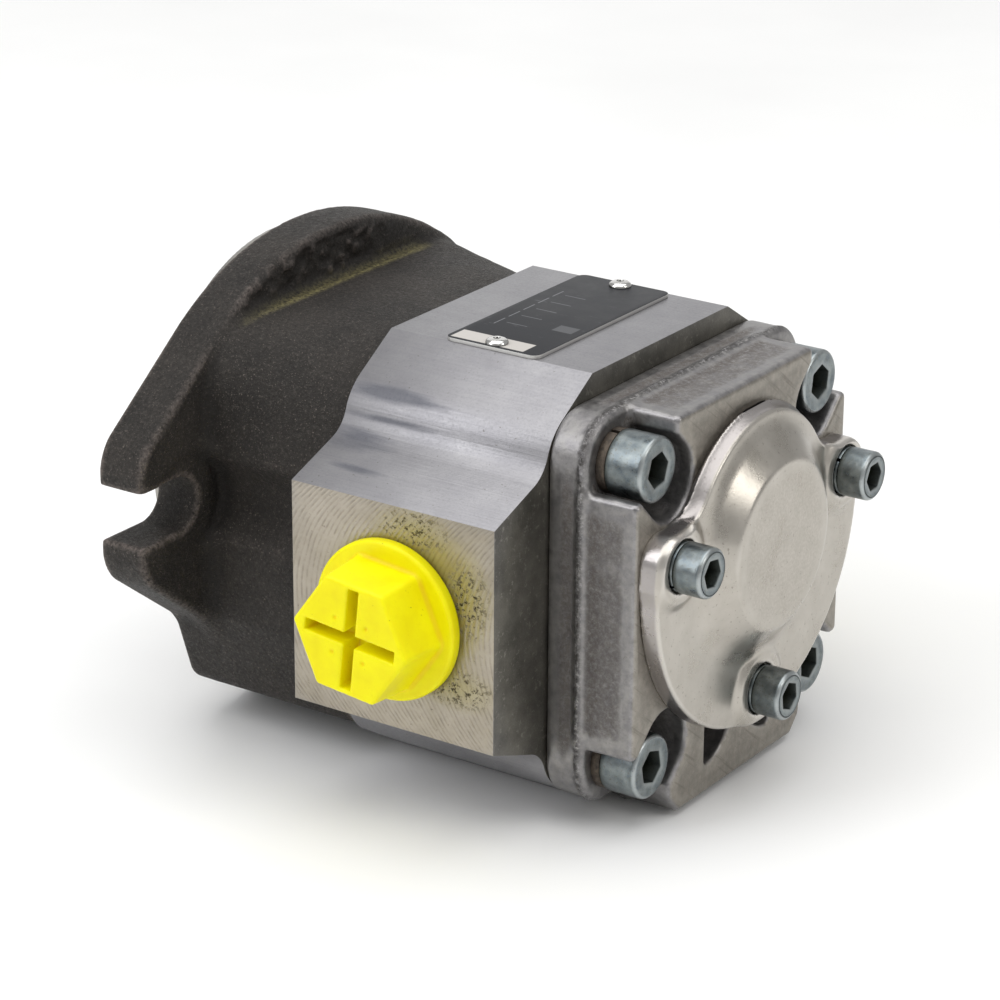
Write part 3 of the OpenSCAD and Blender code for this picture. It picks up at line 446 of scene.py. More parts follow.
def mouldedPolyethylene():
    # Polyethylene, moulded: saturated yellow, waxy and half matt, painted orange shade in the deep slots, with small
    # dirt specks and finger marks
    material, tree, surface, where = startMaterial("polyethyleneMoulded", {"Metallic": 0.0, "Roughness": 0.42,
                                                   "IOR": 1.51, "Subsurface Weight": 0.35, "Specular IOR Level": 0.22,
                                                   "Subsurface Radius": (1.0, 0.8, 0.05), "Subsurface Scale": 0.003})
    cloudy, dots = cloud(tree, where, 6, 4), cloud(tree, where, 0.9, 2, 0.5)
    tone = blend(tree, ramp(tree, cloudy, 0.3, 0.7), linear("#ecdf00"), linear("#f6ee00"))
    tone = blend(tree, ramp(tree, cloud(tree, where, 3, 5, 0.7), 0.60, 0.78, 0, 0.4), tone, linear("#d8c400"))
    # painted shade: deeper orange in the slots and hollows
    tone = blend(tree, ramp(tree, painted(tree, "hollow"), 0.10, 0.30, 0, 0.4), tone, linear("#f0b800"))
    tone = blend(tree, ramp(tree, dots, 0.72, 0.78, 0, 0.6), tone, linear("#7c6a10"))
    tree.links.new(tone, surface.inputs["Base Color"])
    tree.links.new(ramp(tree, cloudy, 0.3, 0.7, 0.36, 0.5), surface.inputs["Roughness"])
    bump(tree, surface, [(0.05, cloud(tree, where, 2.5, 4)), (0.012, cloud(tree, where, 0.5, 2))])
    return material


def anodisedPlate():
    # Aluminium sheet, anodised black and printed: near-black satin face, bare bright cut edge, a pale
    # printed band in one corner and grey empty fields
    material, tree, surface, where = startMaterial("aluminiumAnodisedBlack", {"Metallic": 0.0, "Roughness": 0.5,
                                                   "Specular IOR Level": 0.18})
    apart = addNode(tree, "ShaderNodeSeparateXYZ", links={0: where})
    x, y, z = apart.outputs
    film = cloud(tree, where, 8, 4)
    tone = blend(tree, ramp(tree, film, 0.3, 0.7), linear("#232427"), linear("#303134"))

    def field(x0, x1, y0, y1):
        soft = 0.00008
        inX = sums(tree, "MULTIPLY", ramp(tree, x, x0 - soft, x0 + soft), ramp(tree, x, x1 + soft, x1 - soft))
        inY = sums(tree, "MULTIPLY", ramp(tree, y, y0 - soft, y0 + soft), ramp(tree, y, y1 + soft, y1 - soft))
        return sums(tree, "MULTIPLY", inX, inY)

    left, front = portX * mm - 0.0108, -0.0249
    band = field(left + 0.0010, left + 0.0178, front + 0.0009, front + 0.0056)
    tone = blend(tree, band, tone, linear("#bdb9b4"))
    for number in range(5):
        start = front + 0.0120 + number * 0.0052
        tone = blend(tree, sums(tree, "MULTIPLY", field(left + 0.0034, left + 0.0036, start, start + 0.0040), 0.7),
                     tone, linear("#8f9094"))
        tone = blend(tree, sums(tree, "MULTIPLY", field(left + 0.0052, left + 0.0100, start + 0.0019,
                                                        start + 0.0021), 0.6), tone, linear("#85868a"))
    tone = blend(tree, sums(tree, "MULTIPLY", field(left + 0.0150, left + 0.0195, front + 0.0150, front + 0.0185), 0.22),
                 tone, linear("#9a9b9e"))
    scuffs = ramp(tree, cloud(tree, where, 1.2, 3, 0.6, (0.2, 1, 1)), 0.66, 0.74, 0, 0.4)
    tone = blend(tree, scuffs, tone, linear("#77787c"))
    facing = addNode(tree, "ShaderNodeSeparateXYZ", links={0: addNode(tree, "ShaderNodeTexCoord").outputs["Normal"]})
    cutEdge = ramp(tree, facing.outputs[2], 0.9, 0.6)
    tone = blend(tree, cutEdge, tone, linear("#c9c8c5"))
    tree.links.new(tone, surface.inputs["Base Color"])
    tree.links.new(ramp(tree, cutEdge, 0, 1, 0.0, 0.9), surface.inputs["Metallic"])
    tree.links.new(ramp(tree, film, 0.3, 0.7, 0.42, 0.55), surface.inputs["Roughness"])
    bump(tree, surface, [(0.01, cloud(tree, where, 0.6, 3))])
    return material


def nickelPlatedRivet():
    # Steel drive rivets, nickel plated: bright and almost mirror-like, with painted shade in the dimple and under the
    # head
    material, tree, surface, where = startMaterial("steelNickelPlated", {"Metallic": 1.0, "Roughness": 0.18})
    film = cloud(tree, where, 1.5, 4)
    tone = blend(tree, ramp(tree, film, 0.3, 0.7), linear("#c3c2bf"), linear("#e0dfdc"))
    # painted shade: near black in the dimple and where the head meets the plate
    tone = blend(tree, painted(tree, "recessDark"), tone, linear("#2b2a28"))
    tree.links.new(tone, surface.inputs["Base Color"])
    bump(tree, surface, [(0.01, film)])
    return material


materials = {
    "cast_iron": sandCastIron(),
    "extruded_aluminium": extrudedAluminium(),
    "diecast_aluminium": dieCastAluminium(),
    "cap_aluminium": satinCastAluminium(),
    "zinc_plated_steel": zincPlatedSteel(),
    "spring_steel": phosphatedSpringSteel(),
    "hardened_steel": groundHardenedSteel(),
    "bearing_bronze": machinedBronze(),
    "side_plate_brass": lappedBrass(),
    "seal_rubber": nitrileRubber(),
    "yellow_polyethylene": mouldedPolyethylene(),
    "plate_black": anodisedPlate(),
    "rivet_steel": nickelPlatedRivet(),
}
print("stage: materials made")

for part in frame["record"]["subparts"]:
    for place in frame["nodes"][part["node"]].material_slots:
        place.material = materials[part["material_slot"]]


# ---- shapes worked out as distance fields, for castings and mouldings ----

def polygonField(points, u, v):
    # signed distance to a closed outline, negative inside
    points = np.array(points, float)
    best = np.full(u.shape, 1e9)
    inside = np.zeros(u.shape, bool)
    for a, b in zip(points, np.roll(points, -1, axis=0)):
        edge = b - a
        t = np.clip(((u - a[0]) * edge[0] + (v - a[1]) * edge[1]) / (edge @ edge), 0, 1)
        best = np.minimum(best, (u - a[0] - t * edge[0]) ** 2 + (v - a[1] - t * edge[1]) ** 2)
        crossing = (a[1] > v) != (b[1] > v)
        with np.errstate(divide="ignore", invalid="ignore"):
            inside ^= crossing & (u < (v - a[1]) * edge[0] / edge[1] + a[0])
    return np.where(inside, -1, 1) * np.sqrt(best)


def roundMeet(a, b, r):
    # both at once, with the edge between them rounded to r
    return np.minimum(-r, np.maximum(a, b)) + np.hypot(np.maximum(a + r, 0), np.maximum(b + r, 0))


def roundJoin(a, b, r):
    # either, with a fillet of r between them
    return np.maximum(r, np.minimum(a, b)) - np.hypot(np.maximum(r - a, 0), np.maximum(r - b, 0))


def roundCut(a, b, r):
    return roundMeet(a, -b, r)


def steps(low, high, step):
    return np.arange(low - 2.4 * step, high + 3 * step, step)


def lumps(axes, size):
    # smooth seeded unevenness between -1 and 1, with features about size across
    weights = []
    for points in axes:
        at = (points - points[0]) / size
        count = int(at[-1]) + 3
        cell = at.astype(int)
        part = at - cell
        part = part * part * (3 - 2 * part)
        weight = np.zeros((len(points), count))
        weight[np.arange(len(points)), cell] = 1 - part
        weight[np.arange(len(points)), cell + 1] = part
        weights.append(weight)
    lattice = rng.uniform(-1, 1, [w.shape[1] for w in weights])
    return np.einsum("ia,jb,kc,abc->ijk", *weights, lattice, optimize=True)


def sampled(field, places):
    cell = np.clip(places.astype(int), 0, np.array(field.shape) - 2)
    part = np.clip(places - cell, 0, 1)
    total = 0
    for i in (0, 1):
        for j in (0, 1):
            for k in (0, 1):
                weight = np.ones(len(places))
                for axis, bit in enumerate((i, j, k)):
                    weight = weight * (part[:, axis] if bit else 1 - part[:, axis])
                total = total + weight * field[cell[:, 0] + i, cell[:, 1] + j, cell[:, 2] + k]
    return total


def skinOf(field, axes):
    # a skin of four-sided faces where the field passes zero: one vertex for each cell that it crosses
    inside = field < 0
    nx, ny, nz = field.shape
    count = np.zeros((nx - 1, ny - 1, nz - 1), np.uint8)
    for i in (0, 1):
        for j in (0, 1):
            for k in (0, 1):
                count += inside[i:nx - 1 + i, j:ny - 1 + j, k:nz - 1 + k]
    mixed = (count > 0) & (count < 8)
    cellAt = np.argwhere(mixed)
    number = np.full(mixed.shape, -1, np.int64)
    number[mixed] = np.arange(len(cellAt))
    offsets = np.array([(i, j, k) for i in (0, 1) for j in (0, 1) for k in (0, 1)])
    values = np.stack([field[tuple((cellAt + o).T)] for o in offsets], 1).astype(float)
    total, hits = np.zeros((len(cellAt), 3)), np.zeros(len(cellAt))
    for a in range(8):
        for b in range(a + 1, 8):
            if np.abs(offsets[a] - offsets[b]).sum() != 1:
                continue
            va, vb = values[:, a], values[:, b]
            crossed = (va < 0) != (vb < 0)
            t = np.where(crossed, va / np.where(va == vb, 1, va - vb), 0)
            total += np.where(crossed[:, None], offsets[a] + t[:, None] * (offsets[b] - offsets[a]), 0)
            hits += crossed
    places = cellAt + total / hits[:, None]
    faces = []
    for axis in range(3):
        low = [slice(1, -1)] * 3
        high = [slice(1, -1)] * 3
        low[axis], high[axis] = slice(0, -1), slice(1, None)
        before, after = inside[tuple(low)], inside[tuple(high)]
        at = np.argwhere(before != after)
        leaving = before[tuple(at.T)]
        at[:, [n for n in range(3) if n != axis]] += 1
        second, third = [(1, 2), (2, 0), (0, 1)][axis]
        ring = []
        for du, dv in ((0, 0), (1, 0), (1, 1), (0, 1)):
            cell = at.copy()
            cell[:, second] -= du
            cell[:, third] -= dv
            ring.append(number[tuple(cell.T)])
        ring = np.stack(ring, 1)
        ring[~leaving] = ring[~leaving][:, ::-1]
        faces.append(ring)
    faces = np.concatenate(faces)
    start, step = np.array([a[0] for a in axes]), np.array([a[1] - a[0] for a in axes])
    return places, start + places * step, faces


def bend(field, places, distance, step):
    # how convex (above 0) or hollow (below 0) the surface is over this distance, as a share of it
    total = 0
    for axis in range(3):
        for sign in (-1, 1):
            shift = np.zeros(3)
            shift[axis] = sign * distance / step
            total = total + sampled(field, places + shift)
    return total / 6 / distance


def meshPiece(name, points, faces, attributes=None, smooth=True):
    mesh = bpy.data.meshes.new(name)
    faces = np.asarray(faces)
    mesh.vertices.add(len(points))
    mesh.vertices.foreach_set("co", (np.asarray(points) * mm).astype(np.float32).ravel())
    mesh.loops.add(faces.size)
    mesh.loops.foreach_set("vertex_index", faces.astype(np.int32).ravel())
    mesh.polygons.add(len(faces))
    mesh.polygons.foreach_set("loop_start", np.arange(0, faces.size, faces.shape[1], dtype=np.int32))
    mesh.update(calc_edges=True)
    mesh.validate()
    if smooth:
        mesh.shade_smooth()
    for key, values in (attributes or {}).items():
        mesh.attributes.new(key, "FLOAT", "POINT").data.foreach_set("value", values.astype(np.float32))
    piece = bpy.data.objects.new(name, mesh)
    bpy.context.collection.objects.link(piece)
    return piece


def castPiece(name, field, axes, machinedAt, extra=None):
    places, points, faces = skinOf(field, axes)
    step = axes[0][1] - axes[0][0]
    near, far = bend(field, places, 1.2, step), bend(field, places, 3.0, step)
    attributes = {"edge": np.clip(near, 0, 1), "hollow": np.clip(-far, 0, 1),
                  "machined": machinedAt(*points.T).astype(float)}
    for key, rule in (extra or {}).items():
        attributes[key] = rule(*points.T)
    print("  ", name, len(faces), "faces")
    return meshPiece(name, points, faces, attributes)


def dress(piece, body, slot, *nodes):
    piece.data.materials.append(materials[slot])
    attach(piece, body)
    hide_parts(*nodes)
    return piece


def arcPoints(centre, r, a0, a1, count):
    angles = np.radians(np.linspace(a0, a1, count))
    return [(centre[0] + r * math.cos(a), centre[1] + r * math.sin(a)) for a in angles]


def bothSides(right):
    return list(right) + [(-u, v) for u, v in reversed(right)]


# ---- front housing ----

housing = {
    "step": 0.5, "flangeT": 10.8, "lugReach": 65, "lugHalf": 12.7, "halfHigh": 44.8, "slope": 37.4,
    "boltSpacing": 106.4, "slotWide": 11.2, "pilotR": 41.275, "pilotLong": 6.35,
    "backRound": 1.5, "lugRound": 3.5, "faceRound": 0.6, "seamFillet": 1.4, "topFillet": 1.4, "sideFillet": 3.6,
    "slotRound": 0.8, "halfWide": 44.5, "top": 43, "bottom": 44.2, "frontCornerR": 14, "rearCornerR": 30,
    "reliefR": 10, "reliefOut": 6,
    "sealR": 17.53, "sealFloor": 5.5, "clipGrooveR": 18.6, "clipGroove": (-3.7, -2.3),
    "passageR": 13, "bushR": 14.08, "bushFrom": 10, "screwHoleR": 4.05, "screwSpan": 60.8,
    "skinLumps": 0.07, "skinWaves": 0.16, "flash": 1.1,
}


def makeHousing():
    h = housing
    length = bodyX
    axes = [steps(-h["pilotLong"], length, h["step"]), steps(-h["lugReach"], h["lugReach"], h["step"]),
            steps(centreZ - h["bottom"], h["halfHigh"], h["step"])]
    x, y, z = axes[0][:, None, None], axes[1][None, :, None], axes[2][None, None, :]
    y2, z2 = np.meshgrid(axes[1], axes[2], indexing="ij")
    away, high = np.abs(y2), np.abs(z2)
    slope = math.radians(h["slope"])
    side = h["lugHalf"] * math.cos(slope) + h["lugReach"] * math.sin(slope)
    drop = (side - h["halfHigh"]) / (1 - math.cos(slope))
    onArc = np.arctan2(away, high + drop) < slope
    outline = np.where(onArc, np.hypot(away, high + drop) - h["halfHigh"] - drop,
                       away * math.sin(slope) + high * math.cos(slope) - side)
    outline = roundMeet(outline, away - h["lugReach"], h["lugRound"])[None]
    flange = roundMeet(roundMeet(outline, x - h["flangeT"], h["backRound"]), -x, h["faceRound"])
    sections = []
    for r in (h["frontCornerR"], h["rearCornerR"]):
        right = arcPoints((h["halfWide"] - r, h["top"] - r), r, 90, 0, 24) + [(h["halfWide"] + 0.3, -16.8)]
        right += arcPoints((h["halfWide"] - 10, 12.8 - h["bottom"]), 5, -19, -66, 10) + [(18, -h["bottom"])]
        sections.append(polygonField(bothSides(right), y2, z2 - centreZ)[None])
    opening = np.clip((x - h["flangeT"]) / (length - h["flangeT"]), 0, 1)
    section = sections[0] * (1 - opening) + sections[1] * opening
    casting = roundMeet(roundMeet(section, x - length, 0.5), -x, 1.2)
    upper = np.clip((z - 12) / 14, 0, 1)
    behind = np.clip((x - 5) / 4, 0, 1)
    fillet = h["seamFillet"] + behind * (h["sideFillet"] + upper * (h["topFillet"] - h["sideFillet"]) - h["seamFillet"])
    body = roundJoin(flange, casting, fillet)
    # lumps where the core's joint line runs behind the flange, along the top
    ridge = np.exp(-((x - 11.5) / 2.6) ** 2) * np.clip((z - 34.4) / 1.5, 0, 1) * np.clip((z - 43.2) / -1.5, 0, 1)
    ridge = ridge * np.clip((y + 34) / 5, 0, 1) * np.clip((16 - y) / 6, 0, 1)
    body = body - ridge * (h["flash"] * (lumps(axes, 2.1) + 0.35 * lumps(axes, 1.1) - 0.45))
    asCast = np.clip((x - 0.8) / 1.5, 0, 1) * np.clip((length - 0.6 - x) / 1.0, 0, 1)
    body = body - asCast * (h["skinLumps"] * lumps(axes, 2.2) + h["skinWaves"] * lumps(axes, 13))
    fromAxis = np.hypot(y, z)
    pilot = roundMeet(fromAxis - h["pilotR"], np.maximum(-x - h["pilotLong"], x - 2), 0.8)
    body = np.minimum(body, pilot)
    out = np.abs(y) - h["boltSpacing"] / 2
    slot = np.where(out > 0, np.abs(z) * np.ones_like(out), np.hypot(out, z)) - h["slotWide"] / 2
    body = roundCut(body, np.maximum(slot, x - h["flangeT"] - 5.5), h["slotRound"])
    relief = np.hypot(np.abs(y) - h["halfWide"] - h["reliefOut"], z) - h["reliefR"]
    body = roundCut(body, roundMeet(relief, h["flangeT"] - x, 1.5), 1.6)
    body = roundCut(body, np.maximum(fromAxis - h["sealR"], x - h["sealFloor"]), 0.5)
    groove = np.maximum(fromAxis - h["clipGrooveR"], np.abs(x - sum(h["clipGroove"]) / 2) - 0.7)
    body = np.maximum(body, -groove)
    body = np.maximum(body, -(fromAxis - h["passageR"] + 0 * x))
    body = np.maximum(body, -np.maximum(fromAxis - h["bushR"], h["bushFrom"] - x))
    for sy in (-1, 1):
        for sz in (-1, 1):
            hole = np.hypot(y - sy * h["screwSpan"] / 2, z - centreZ - sz * h["screwSpan"] / 2) - h["screwHoleR"]
            body = np.maximum(body, -np.maximum(hole, length - 18 - x))

    def machined(px, py, pz):
        return (px < 0.12) & (pz > -46) | (px > length - 0.35) | (np.hypot(py, pz) < 20)

    def dust(px, py, pz):
        amount = np.exp(-((px - 12.6) / 1.3) ** 2) * np.clip((pz - 31) / 2, 0, 1) * np.clip((37.5 - pz) / 2, 0, 1)
        return amount * np.clip((py + 38) / 22, 0.0, 1) * np.clip((30 - py) / 6, 0, 1)

    # where the pocket behind the flange lies along the top, used only to paint shade there
    def pocket(px, py, pz):
        inPocket = np.clip((px - 9.5) / 1.5, 0, 1) * np.clip((15.5 - px) / 2, 0, 1)
        return inPocket * np.clip((pz - 34.5) / 1.5, 0, 1) * np.clip((py + 37) / 5, 0, 1) * np.clip((26 - py) / 8, 0, 1)

    dress(castPiece("frontHousing", body, axes, machined, {"dust": dust, "pocket": pocket}), "pump_housing", "cast_iron",
          "front_housing")


makeHousing()
print("stage: front housing")


# ---- port body ----

portBody = {
    "padHalf": 22.7, "foot": 44.3, "hollowR": 7.4, "roundR": 11.7, "topHalf": 24.8, "halfHigh": 44.2,
    "slope": 20, "steep": 70, "roof": 29, "boreR": 34.65, "screwHoleR": 4.25, "screwSpan": 60.8,
    "suctionR": 13.22, "pressureR": 10.48, "portDeep": 16, "portStep": 2.2, "edge": 0.35,
}


def prismPiece(name, outline, x0, x1):
    # an outline in Y and Z, drawn out along the shaft
    count = len(outline)
    points = [(x0, u, v) for u, v in outline] + [(x1, u, v) for u, v in outline]
    mesh = bpy.data.meshes.new(name)
    faces = [list(range(count))[::-1], list(range(count, 2 * count))]
    faces += [[i, (i + 1) % count, count + (i + 1) % count, count + i] for i in range(count)]
    mesh.from_pydata([tuple(c * mm for c in p) for p in points], [], faces)
    shape = bmesh.new()
    shape.from_mesh(mesh)
    bmesh.ops.recalc_face_normals(shape, faces=shape.faces)
    shape.to_mesh(mesh)
    shape.free()
    piece = bpy.data.objects.new(name, mesh)
    bpy.context.collection.objects.link(piece)
    return piece


def barPiece(r, start, end, count=96):
    # a round bar between two points, used to bore holes
    start, end = Vector(start), Vector(end)
    turn = (end - start).to_track_quat("Z", "Y").to_matrix()
    ring = [turn @ Vector((r * math.cos(a), r * math.sin(a), 0)) for a in np.linspace(0, 2 * math.pi, count + 1)[:-1]]
    mesh = bpy.data.meshes.new("boring")
    points = [(start + p) * mm for p in ring] + [(end + p) * mm for p in ring]
    faces = [list(range(count))[::-1], list(range(count, 2 * count))]
    faces += [[i, (i + 1) % count, count + (i + 1) % count, count + i] for i in range(count)]
    mesh.from_pydata(points, [], faces)
    piece = bpy.data.objects.new("boring", mesh)
    bpy.context.collection.objects.link(piece)
    return piece


def bore(piece, bars):
    for bar in bars:
        cut = piece.modifiers.new("bore", "BOOLEAN")
        cut.operation, cut.solver, cut.object = "DIFFERENCE", "EXACT", bar
    applyAll(piece)
    for bar in bars:
        bpy.data.objects.remove(bar, do_unlink=True)


def applyAll(piece):
    graph = bpy.context.evaluated_depsgraph_get()
    mesh = bpy.data.meshes.new_from_object(piece.evaluated_get(graph))
    piece.modifiers.clear()
    piece.data = mesh


def softenEdges(piece, width, segments=2, angle=28):
    shape = bmesh.new()
    shape.from_mesh(piece.data)
    bmesh.ops.remove_doubles(shape, verts=shape.verts, dist=2e-6)
    bmesh.ops.dissolve_limit(shape, angle_limit=math.radians(0.2), verts=shape.verts, edges=shape.edges)
    shape.to_mesh(piece.data)
    shape.free()
    bevel = piece.modifiers.new("softEdge", "BEVEL")
    bevel.width, bevel.segments = width * mm, segments
    bevel.limit_method, bevel.angle_limit = "ANGLE", math.radians(angle)
    bevel.harden_normals = False
    bevel.use_clamp_overlap = True
    applyAll(piece)
    piece.data.shade_smooth()
    piece.data.set_sharp_from_angle(angle=math.radians(32))


def makePortBody():
    b = portBody
    slope, steep = b["slope"], b["steep"]
    foot = (b["foot"], b["padHalf"] + (padY - b["foot"]) * math.tan(math.radians(slope)))
    sin, cos = lambda a: math.sin(math.radians(a)), lambda a: math.cos(math.radians(a))
    middle = (foot[0] + b["hollowR"] * sin(slope), foot[1] + b["hollowR"] * cos(slope))
    hollow = arcPoints(middle, b["hollowR"], 270 - slope, 270 - steep, 13)
    turn = (hollow[-1][0] - b["roundR"] * sin(steep), hollow[-1][1] - b["roundR"] * cos(steep))
    quarter = [(padY, b["padHalf"])] + hollow + arcPoints(turn, b["roundR"], 90 - steep, 90 - b["roof"], 13)
    quarter += [(b["topHalf"], b["halfHigh"])]
    upper = bothSides(quarter)
    outline = upper + [(u, -v) for u, v in reversed(upper)]
    piece = prismPiece("portBody", [(u, v + centreZ) for u, v in outline], bodyX, coverX)
    bars = [barPiece(b["boreR"], (bodyX - 1, 0, centreZ), (coverX + 1, 0, centreZ), 160)]
    for sy in (-1, 1):
        r = b["suctionR"] if sy < 0 else b["pressureR"]
        bars.append(barPiece(r, (portX, sy * (padY - b["portDeep"]), centreZ), (portX, sy * (padY + 1), centreZ)))
        bars.append(barPiece(r - b["portStep"], (portX, sy * 20, centreZ), (portX, sy * (padY - 5), centreZ)))
        for sz in (-1, 1):
            at = (sy * b["screwSpan"] / 2, centreZ + sz * b["screwSpan"] / 2)
            bars.append(barPiece(b["screwHoleR"], (bodyX - 1, *at), (coverX + 1, *at), 48))
    bore(piece, bars)
    softenEdges(piece, b["edge"])
    dress(piece, "pump_housing", "extruded_aluminium", "port_body")


makePortBody()
print("stage: port body")


# ---- rear cover ----

cover = {
    "step": 0.45, "baseT": 8.5, "halfWide": 39.6, "cornerR": 9.2, "screwSpan": 60.8, "screwHoleR": 4.25,
    "blockHalfHigh": 26.1, "blockHalfWide": 25.2, "foot": 3.6, "channelR": 7.8, "channelIn": 3.1,
    "edgeRound": 1.1, "floorRound": 1.2, "partLine": 7.2, "ridge": 0.55, "spigotR": 22.05, "spigotFloor": 4.3,
    "capZ": -1.2, "bushR": 14.08, "bushLong": 15.1, "passageR": 13.05, "capScrewR": 3.05,
    "capScrewCircle": 31.4, "capScrewAngles": (-90, 9, 171), "capGrip": 12.5, "skinLumps": 0.05,
}


def makeCover():
    c = cover
    x0, x1 = coverX, coverHigh[0]
    base = x0 + c["baseT"]
    axes = [steps(x0, x1, c["step"]), steps(-c["halfWide"] - 0.4, c["halfWide"] + 0.4, c["step"]),
            steps(coverLow[2], coverHigh[2] + 0.4, c["step"])]
    x, y, z = axes[0][:, None, None], axes[1][None, :, None], axes[2][None, None, :]
    y2, z2 = np.meshgrid(axes[1], axes[2] - centreZ, indexing="ij")
    half, s = c["halfWide"], c["screwSpan"] / 2
    low = half + c["foot"]
    right = arcPoints((s, s), c["cornerR"], 90, 0, 20) + arcPoints((s, -s), c["cornerR"], 0, -90, 20)
    right += [(c["blockHalfWide"], -half), (c["blockHalfWide"] - 3.4, -low)]
    section = polygonField(bothSides(right), y2, z2)
    plate = roundMeet(roundMeet(section[None], x - base, c["floorRound"]), x0 - x, 0.9)
    away, high = np.abs(y2), np.abs(z2)
    corner = roundMeet(c["blockHalfWide"] - away, c["blockHalfHigh"] - high, 0.4)
    inner = s - c["channelIn"]
    along = ((away - inner) + (high - inner)) / math.sqrt(2)
    across = ((away - inner) - (high - inner)) / math.sqrt(2)
    channel = np.where(along > 0, np.abs(across), np.hypot(along, across)) - c["channelR"]
    taken = np.minimum(corner, channel)[None]
    draft = 0.03 * (x - base)
    block = roundMeet(section[None] + draft * 0.6, x - x1, c["edgeRound"])
    block = roundCut(block, taken + 0 * x, c["edgeRound"])
    block = np.maximum(block, base - 2 - x)
    body = roundJoin(plate, block, c["floorRound"])
    # the die's joint line, a low ridge round the base with torn flash here and there
    torn = np.clip(lumps(axes, 1.6) * 1.4 + 0.2, 0, 1) * np.clip(lumps(axes, 9) * 2 + 0.5, 0, 1)
    line = np.exp(-((x - x0 - c["partLine"]) / 0.45) ** 2) * (0.15 + c["ridge"] * torn)
    body = body - line * (section[None] > -1.5)
    body = body - c["skinLumps"] * lumps(axes, 3.0) * np.clip((x1 - 0.7 - x) / 1.0, 0, 1) * np.clip(x - x0 - 0.5, 0, 1)
    # cored pockets under the cap
    for sy in (-1, 1):
        disc = np.hypot(y2 - sy * 12.4, z2 + 26.6) - 10.2
        wall = np.maximum(np.abs(y2 - sy * 7.4) - 5.0, np.abs(z2 + 34.2) - 5.8)
        pocket = roundMeet(disc, wall, 1.0)[None]
        body = roundCut(body, roundMeet(pocket, base + 2 - x, 1.0), 0.6)
    fromCap = np.hypot(y, z - c["capZ"])
    body = roundCut(body, np.maximum(fromCap - c["spigotR"], x1 - c["spigotFloor"] - x), 0.4)
    fromAxis = np.hypot(y, z)
    body = np.maximum(body, -np.maximum(fromAxis - c["bushR"], x - x0 - c["bushLong"]))
    body = np.maximum(body, -(fromAxis - c["passageR"] + 0 * x))
    for sy in (-1, 1):
        for sz in (-1, 1):
            hole = np.hypot(y - sy * s, z - centreZ - sz * s) - c["screwHoleR"]
            body = np.maximum(body, -np.maximum(hole, x - base - 0.5))
    for angle in c["capScrewAngles"]:
        a = math.radians(angle)
        hole = np.hypot(y - c["capScrewCircle"] * math.cos(a), z - c["capZ"] - c["capScrewCircle"] * math.sin(a))
        body = np.maximum(body, -np.maximum(hole - c["capScrewR"], x1 - c["capGrip"] - x))

    def machined(px, py, pz):
        return (px > x1 - 0.3) | (px < x0 + 0.3) | (np.hypot(py, pz) < 14.5)

    def seam(px, py, pz):
        return np.exp(-((px - x0 - c["partLine"]) / 0.7) ** 2) * (px < base - 0.2)

    dress(castPiece("rearCover", body, axes, machined, {"seam": seam}), "pump_housing", "diecast_aluminium",
          "rear_cover")


makeCover()
print("stage: rear cover")


# ---- end cap ----

cap = {
    "step": 0.38, "z": -1.2, "r": 38, "topR": 25.8, "lobeR": 5.4, "flangeT": 4, "domeR": 23.6, "flatR": 16.9,
    "rimRound": 0.45, "domeFoot": 1.6, "discEdge": 0.35, "screwCircle": 31.4, "screwAngles": (-90, 9, 171),
    "screwHoleR": 3.2, "scallopR": 7.2, "scallopSlope": 1.25, "bossR": 7.4, "boss": 0.8, "seatR": 5.25,
    "spigotR": 22, "spigotLong": 3.5, "hollowR": 12.9, "screwSpan": 60.8,
}


def capOutline():
    c = cap
    centre = np.array((0, c["z"]))
    corner = np.array((c["screwSpan"] / 2, centreZ + c["screwSpan"] / 2))
    flank = np.linalg.norm(corner - centre) - c["topR"]
    ra, rb = flank + c["lobeR"], c["r"] - c["lobeR"]
    gap = np.linalg.norm(centre - corner)
    u = (centre - corner) / gap
    t = (gap * gap + ra * ra - rb * rb) / (2 * gap)
    lobe = corner + t * u + math.sqrt(ra * ra - t * t) * np.array((-u[1], u[0]))

    def toward(p, q):
        return math.degrees(math.atan2(q[1] - p[1], q[0] - p[0]))

    right = arcPoints(centre, c["r"], -90, toward(centre, lobe), 140)
    right += arcPoints(lobe, c["lobeR"], toward(centre, lobe), toward(lobe, corner), 40)
    right += arcPoints(corner, flank, toward(lobe, corner) - 180, toward(corner, centre), 50)
    right += arcPoints(centre, c["topR"], toward(corner, centre) + 180, 90, 50)
    return bothSides(right)


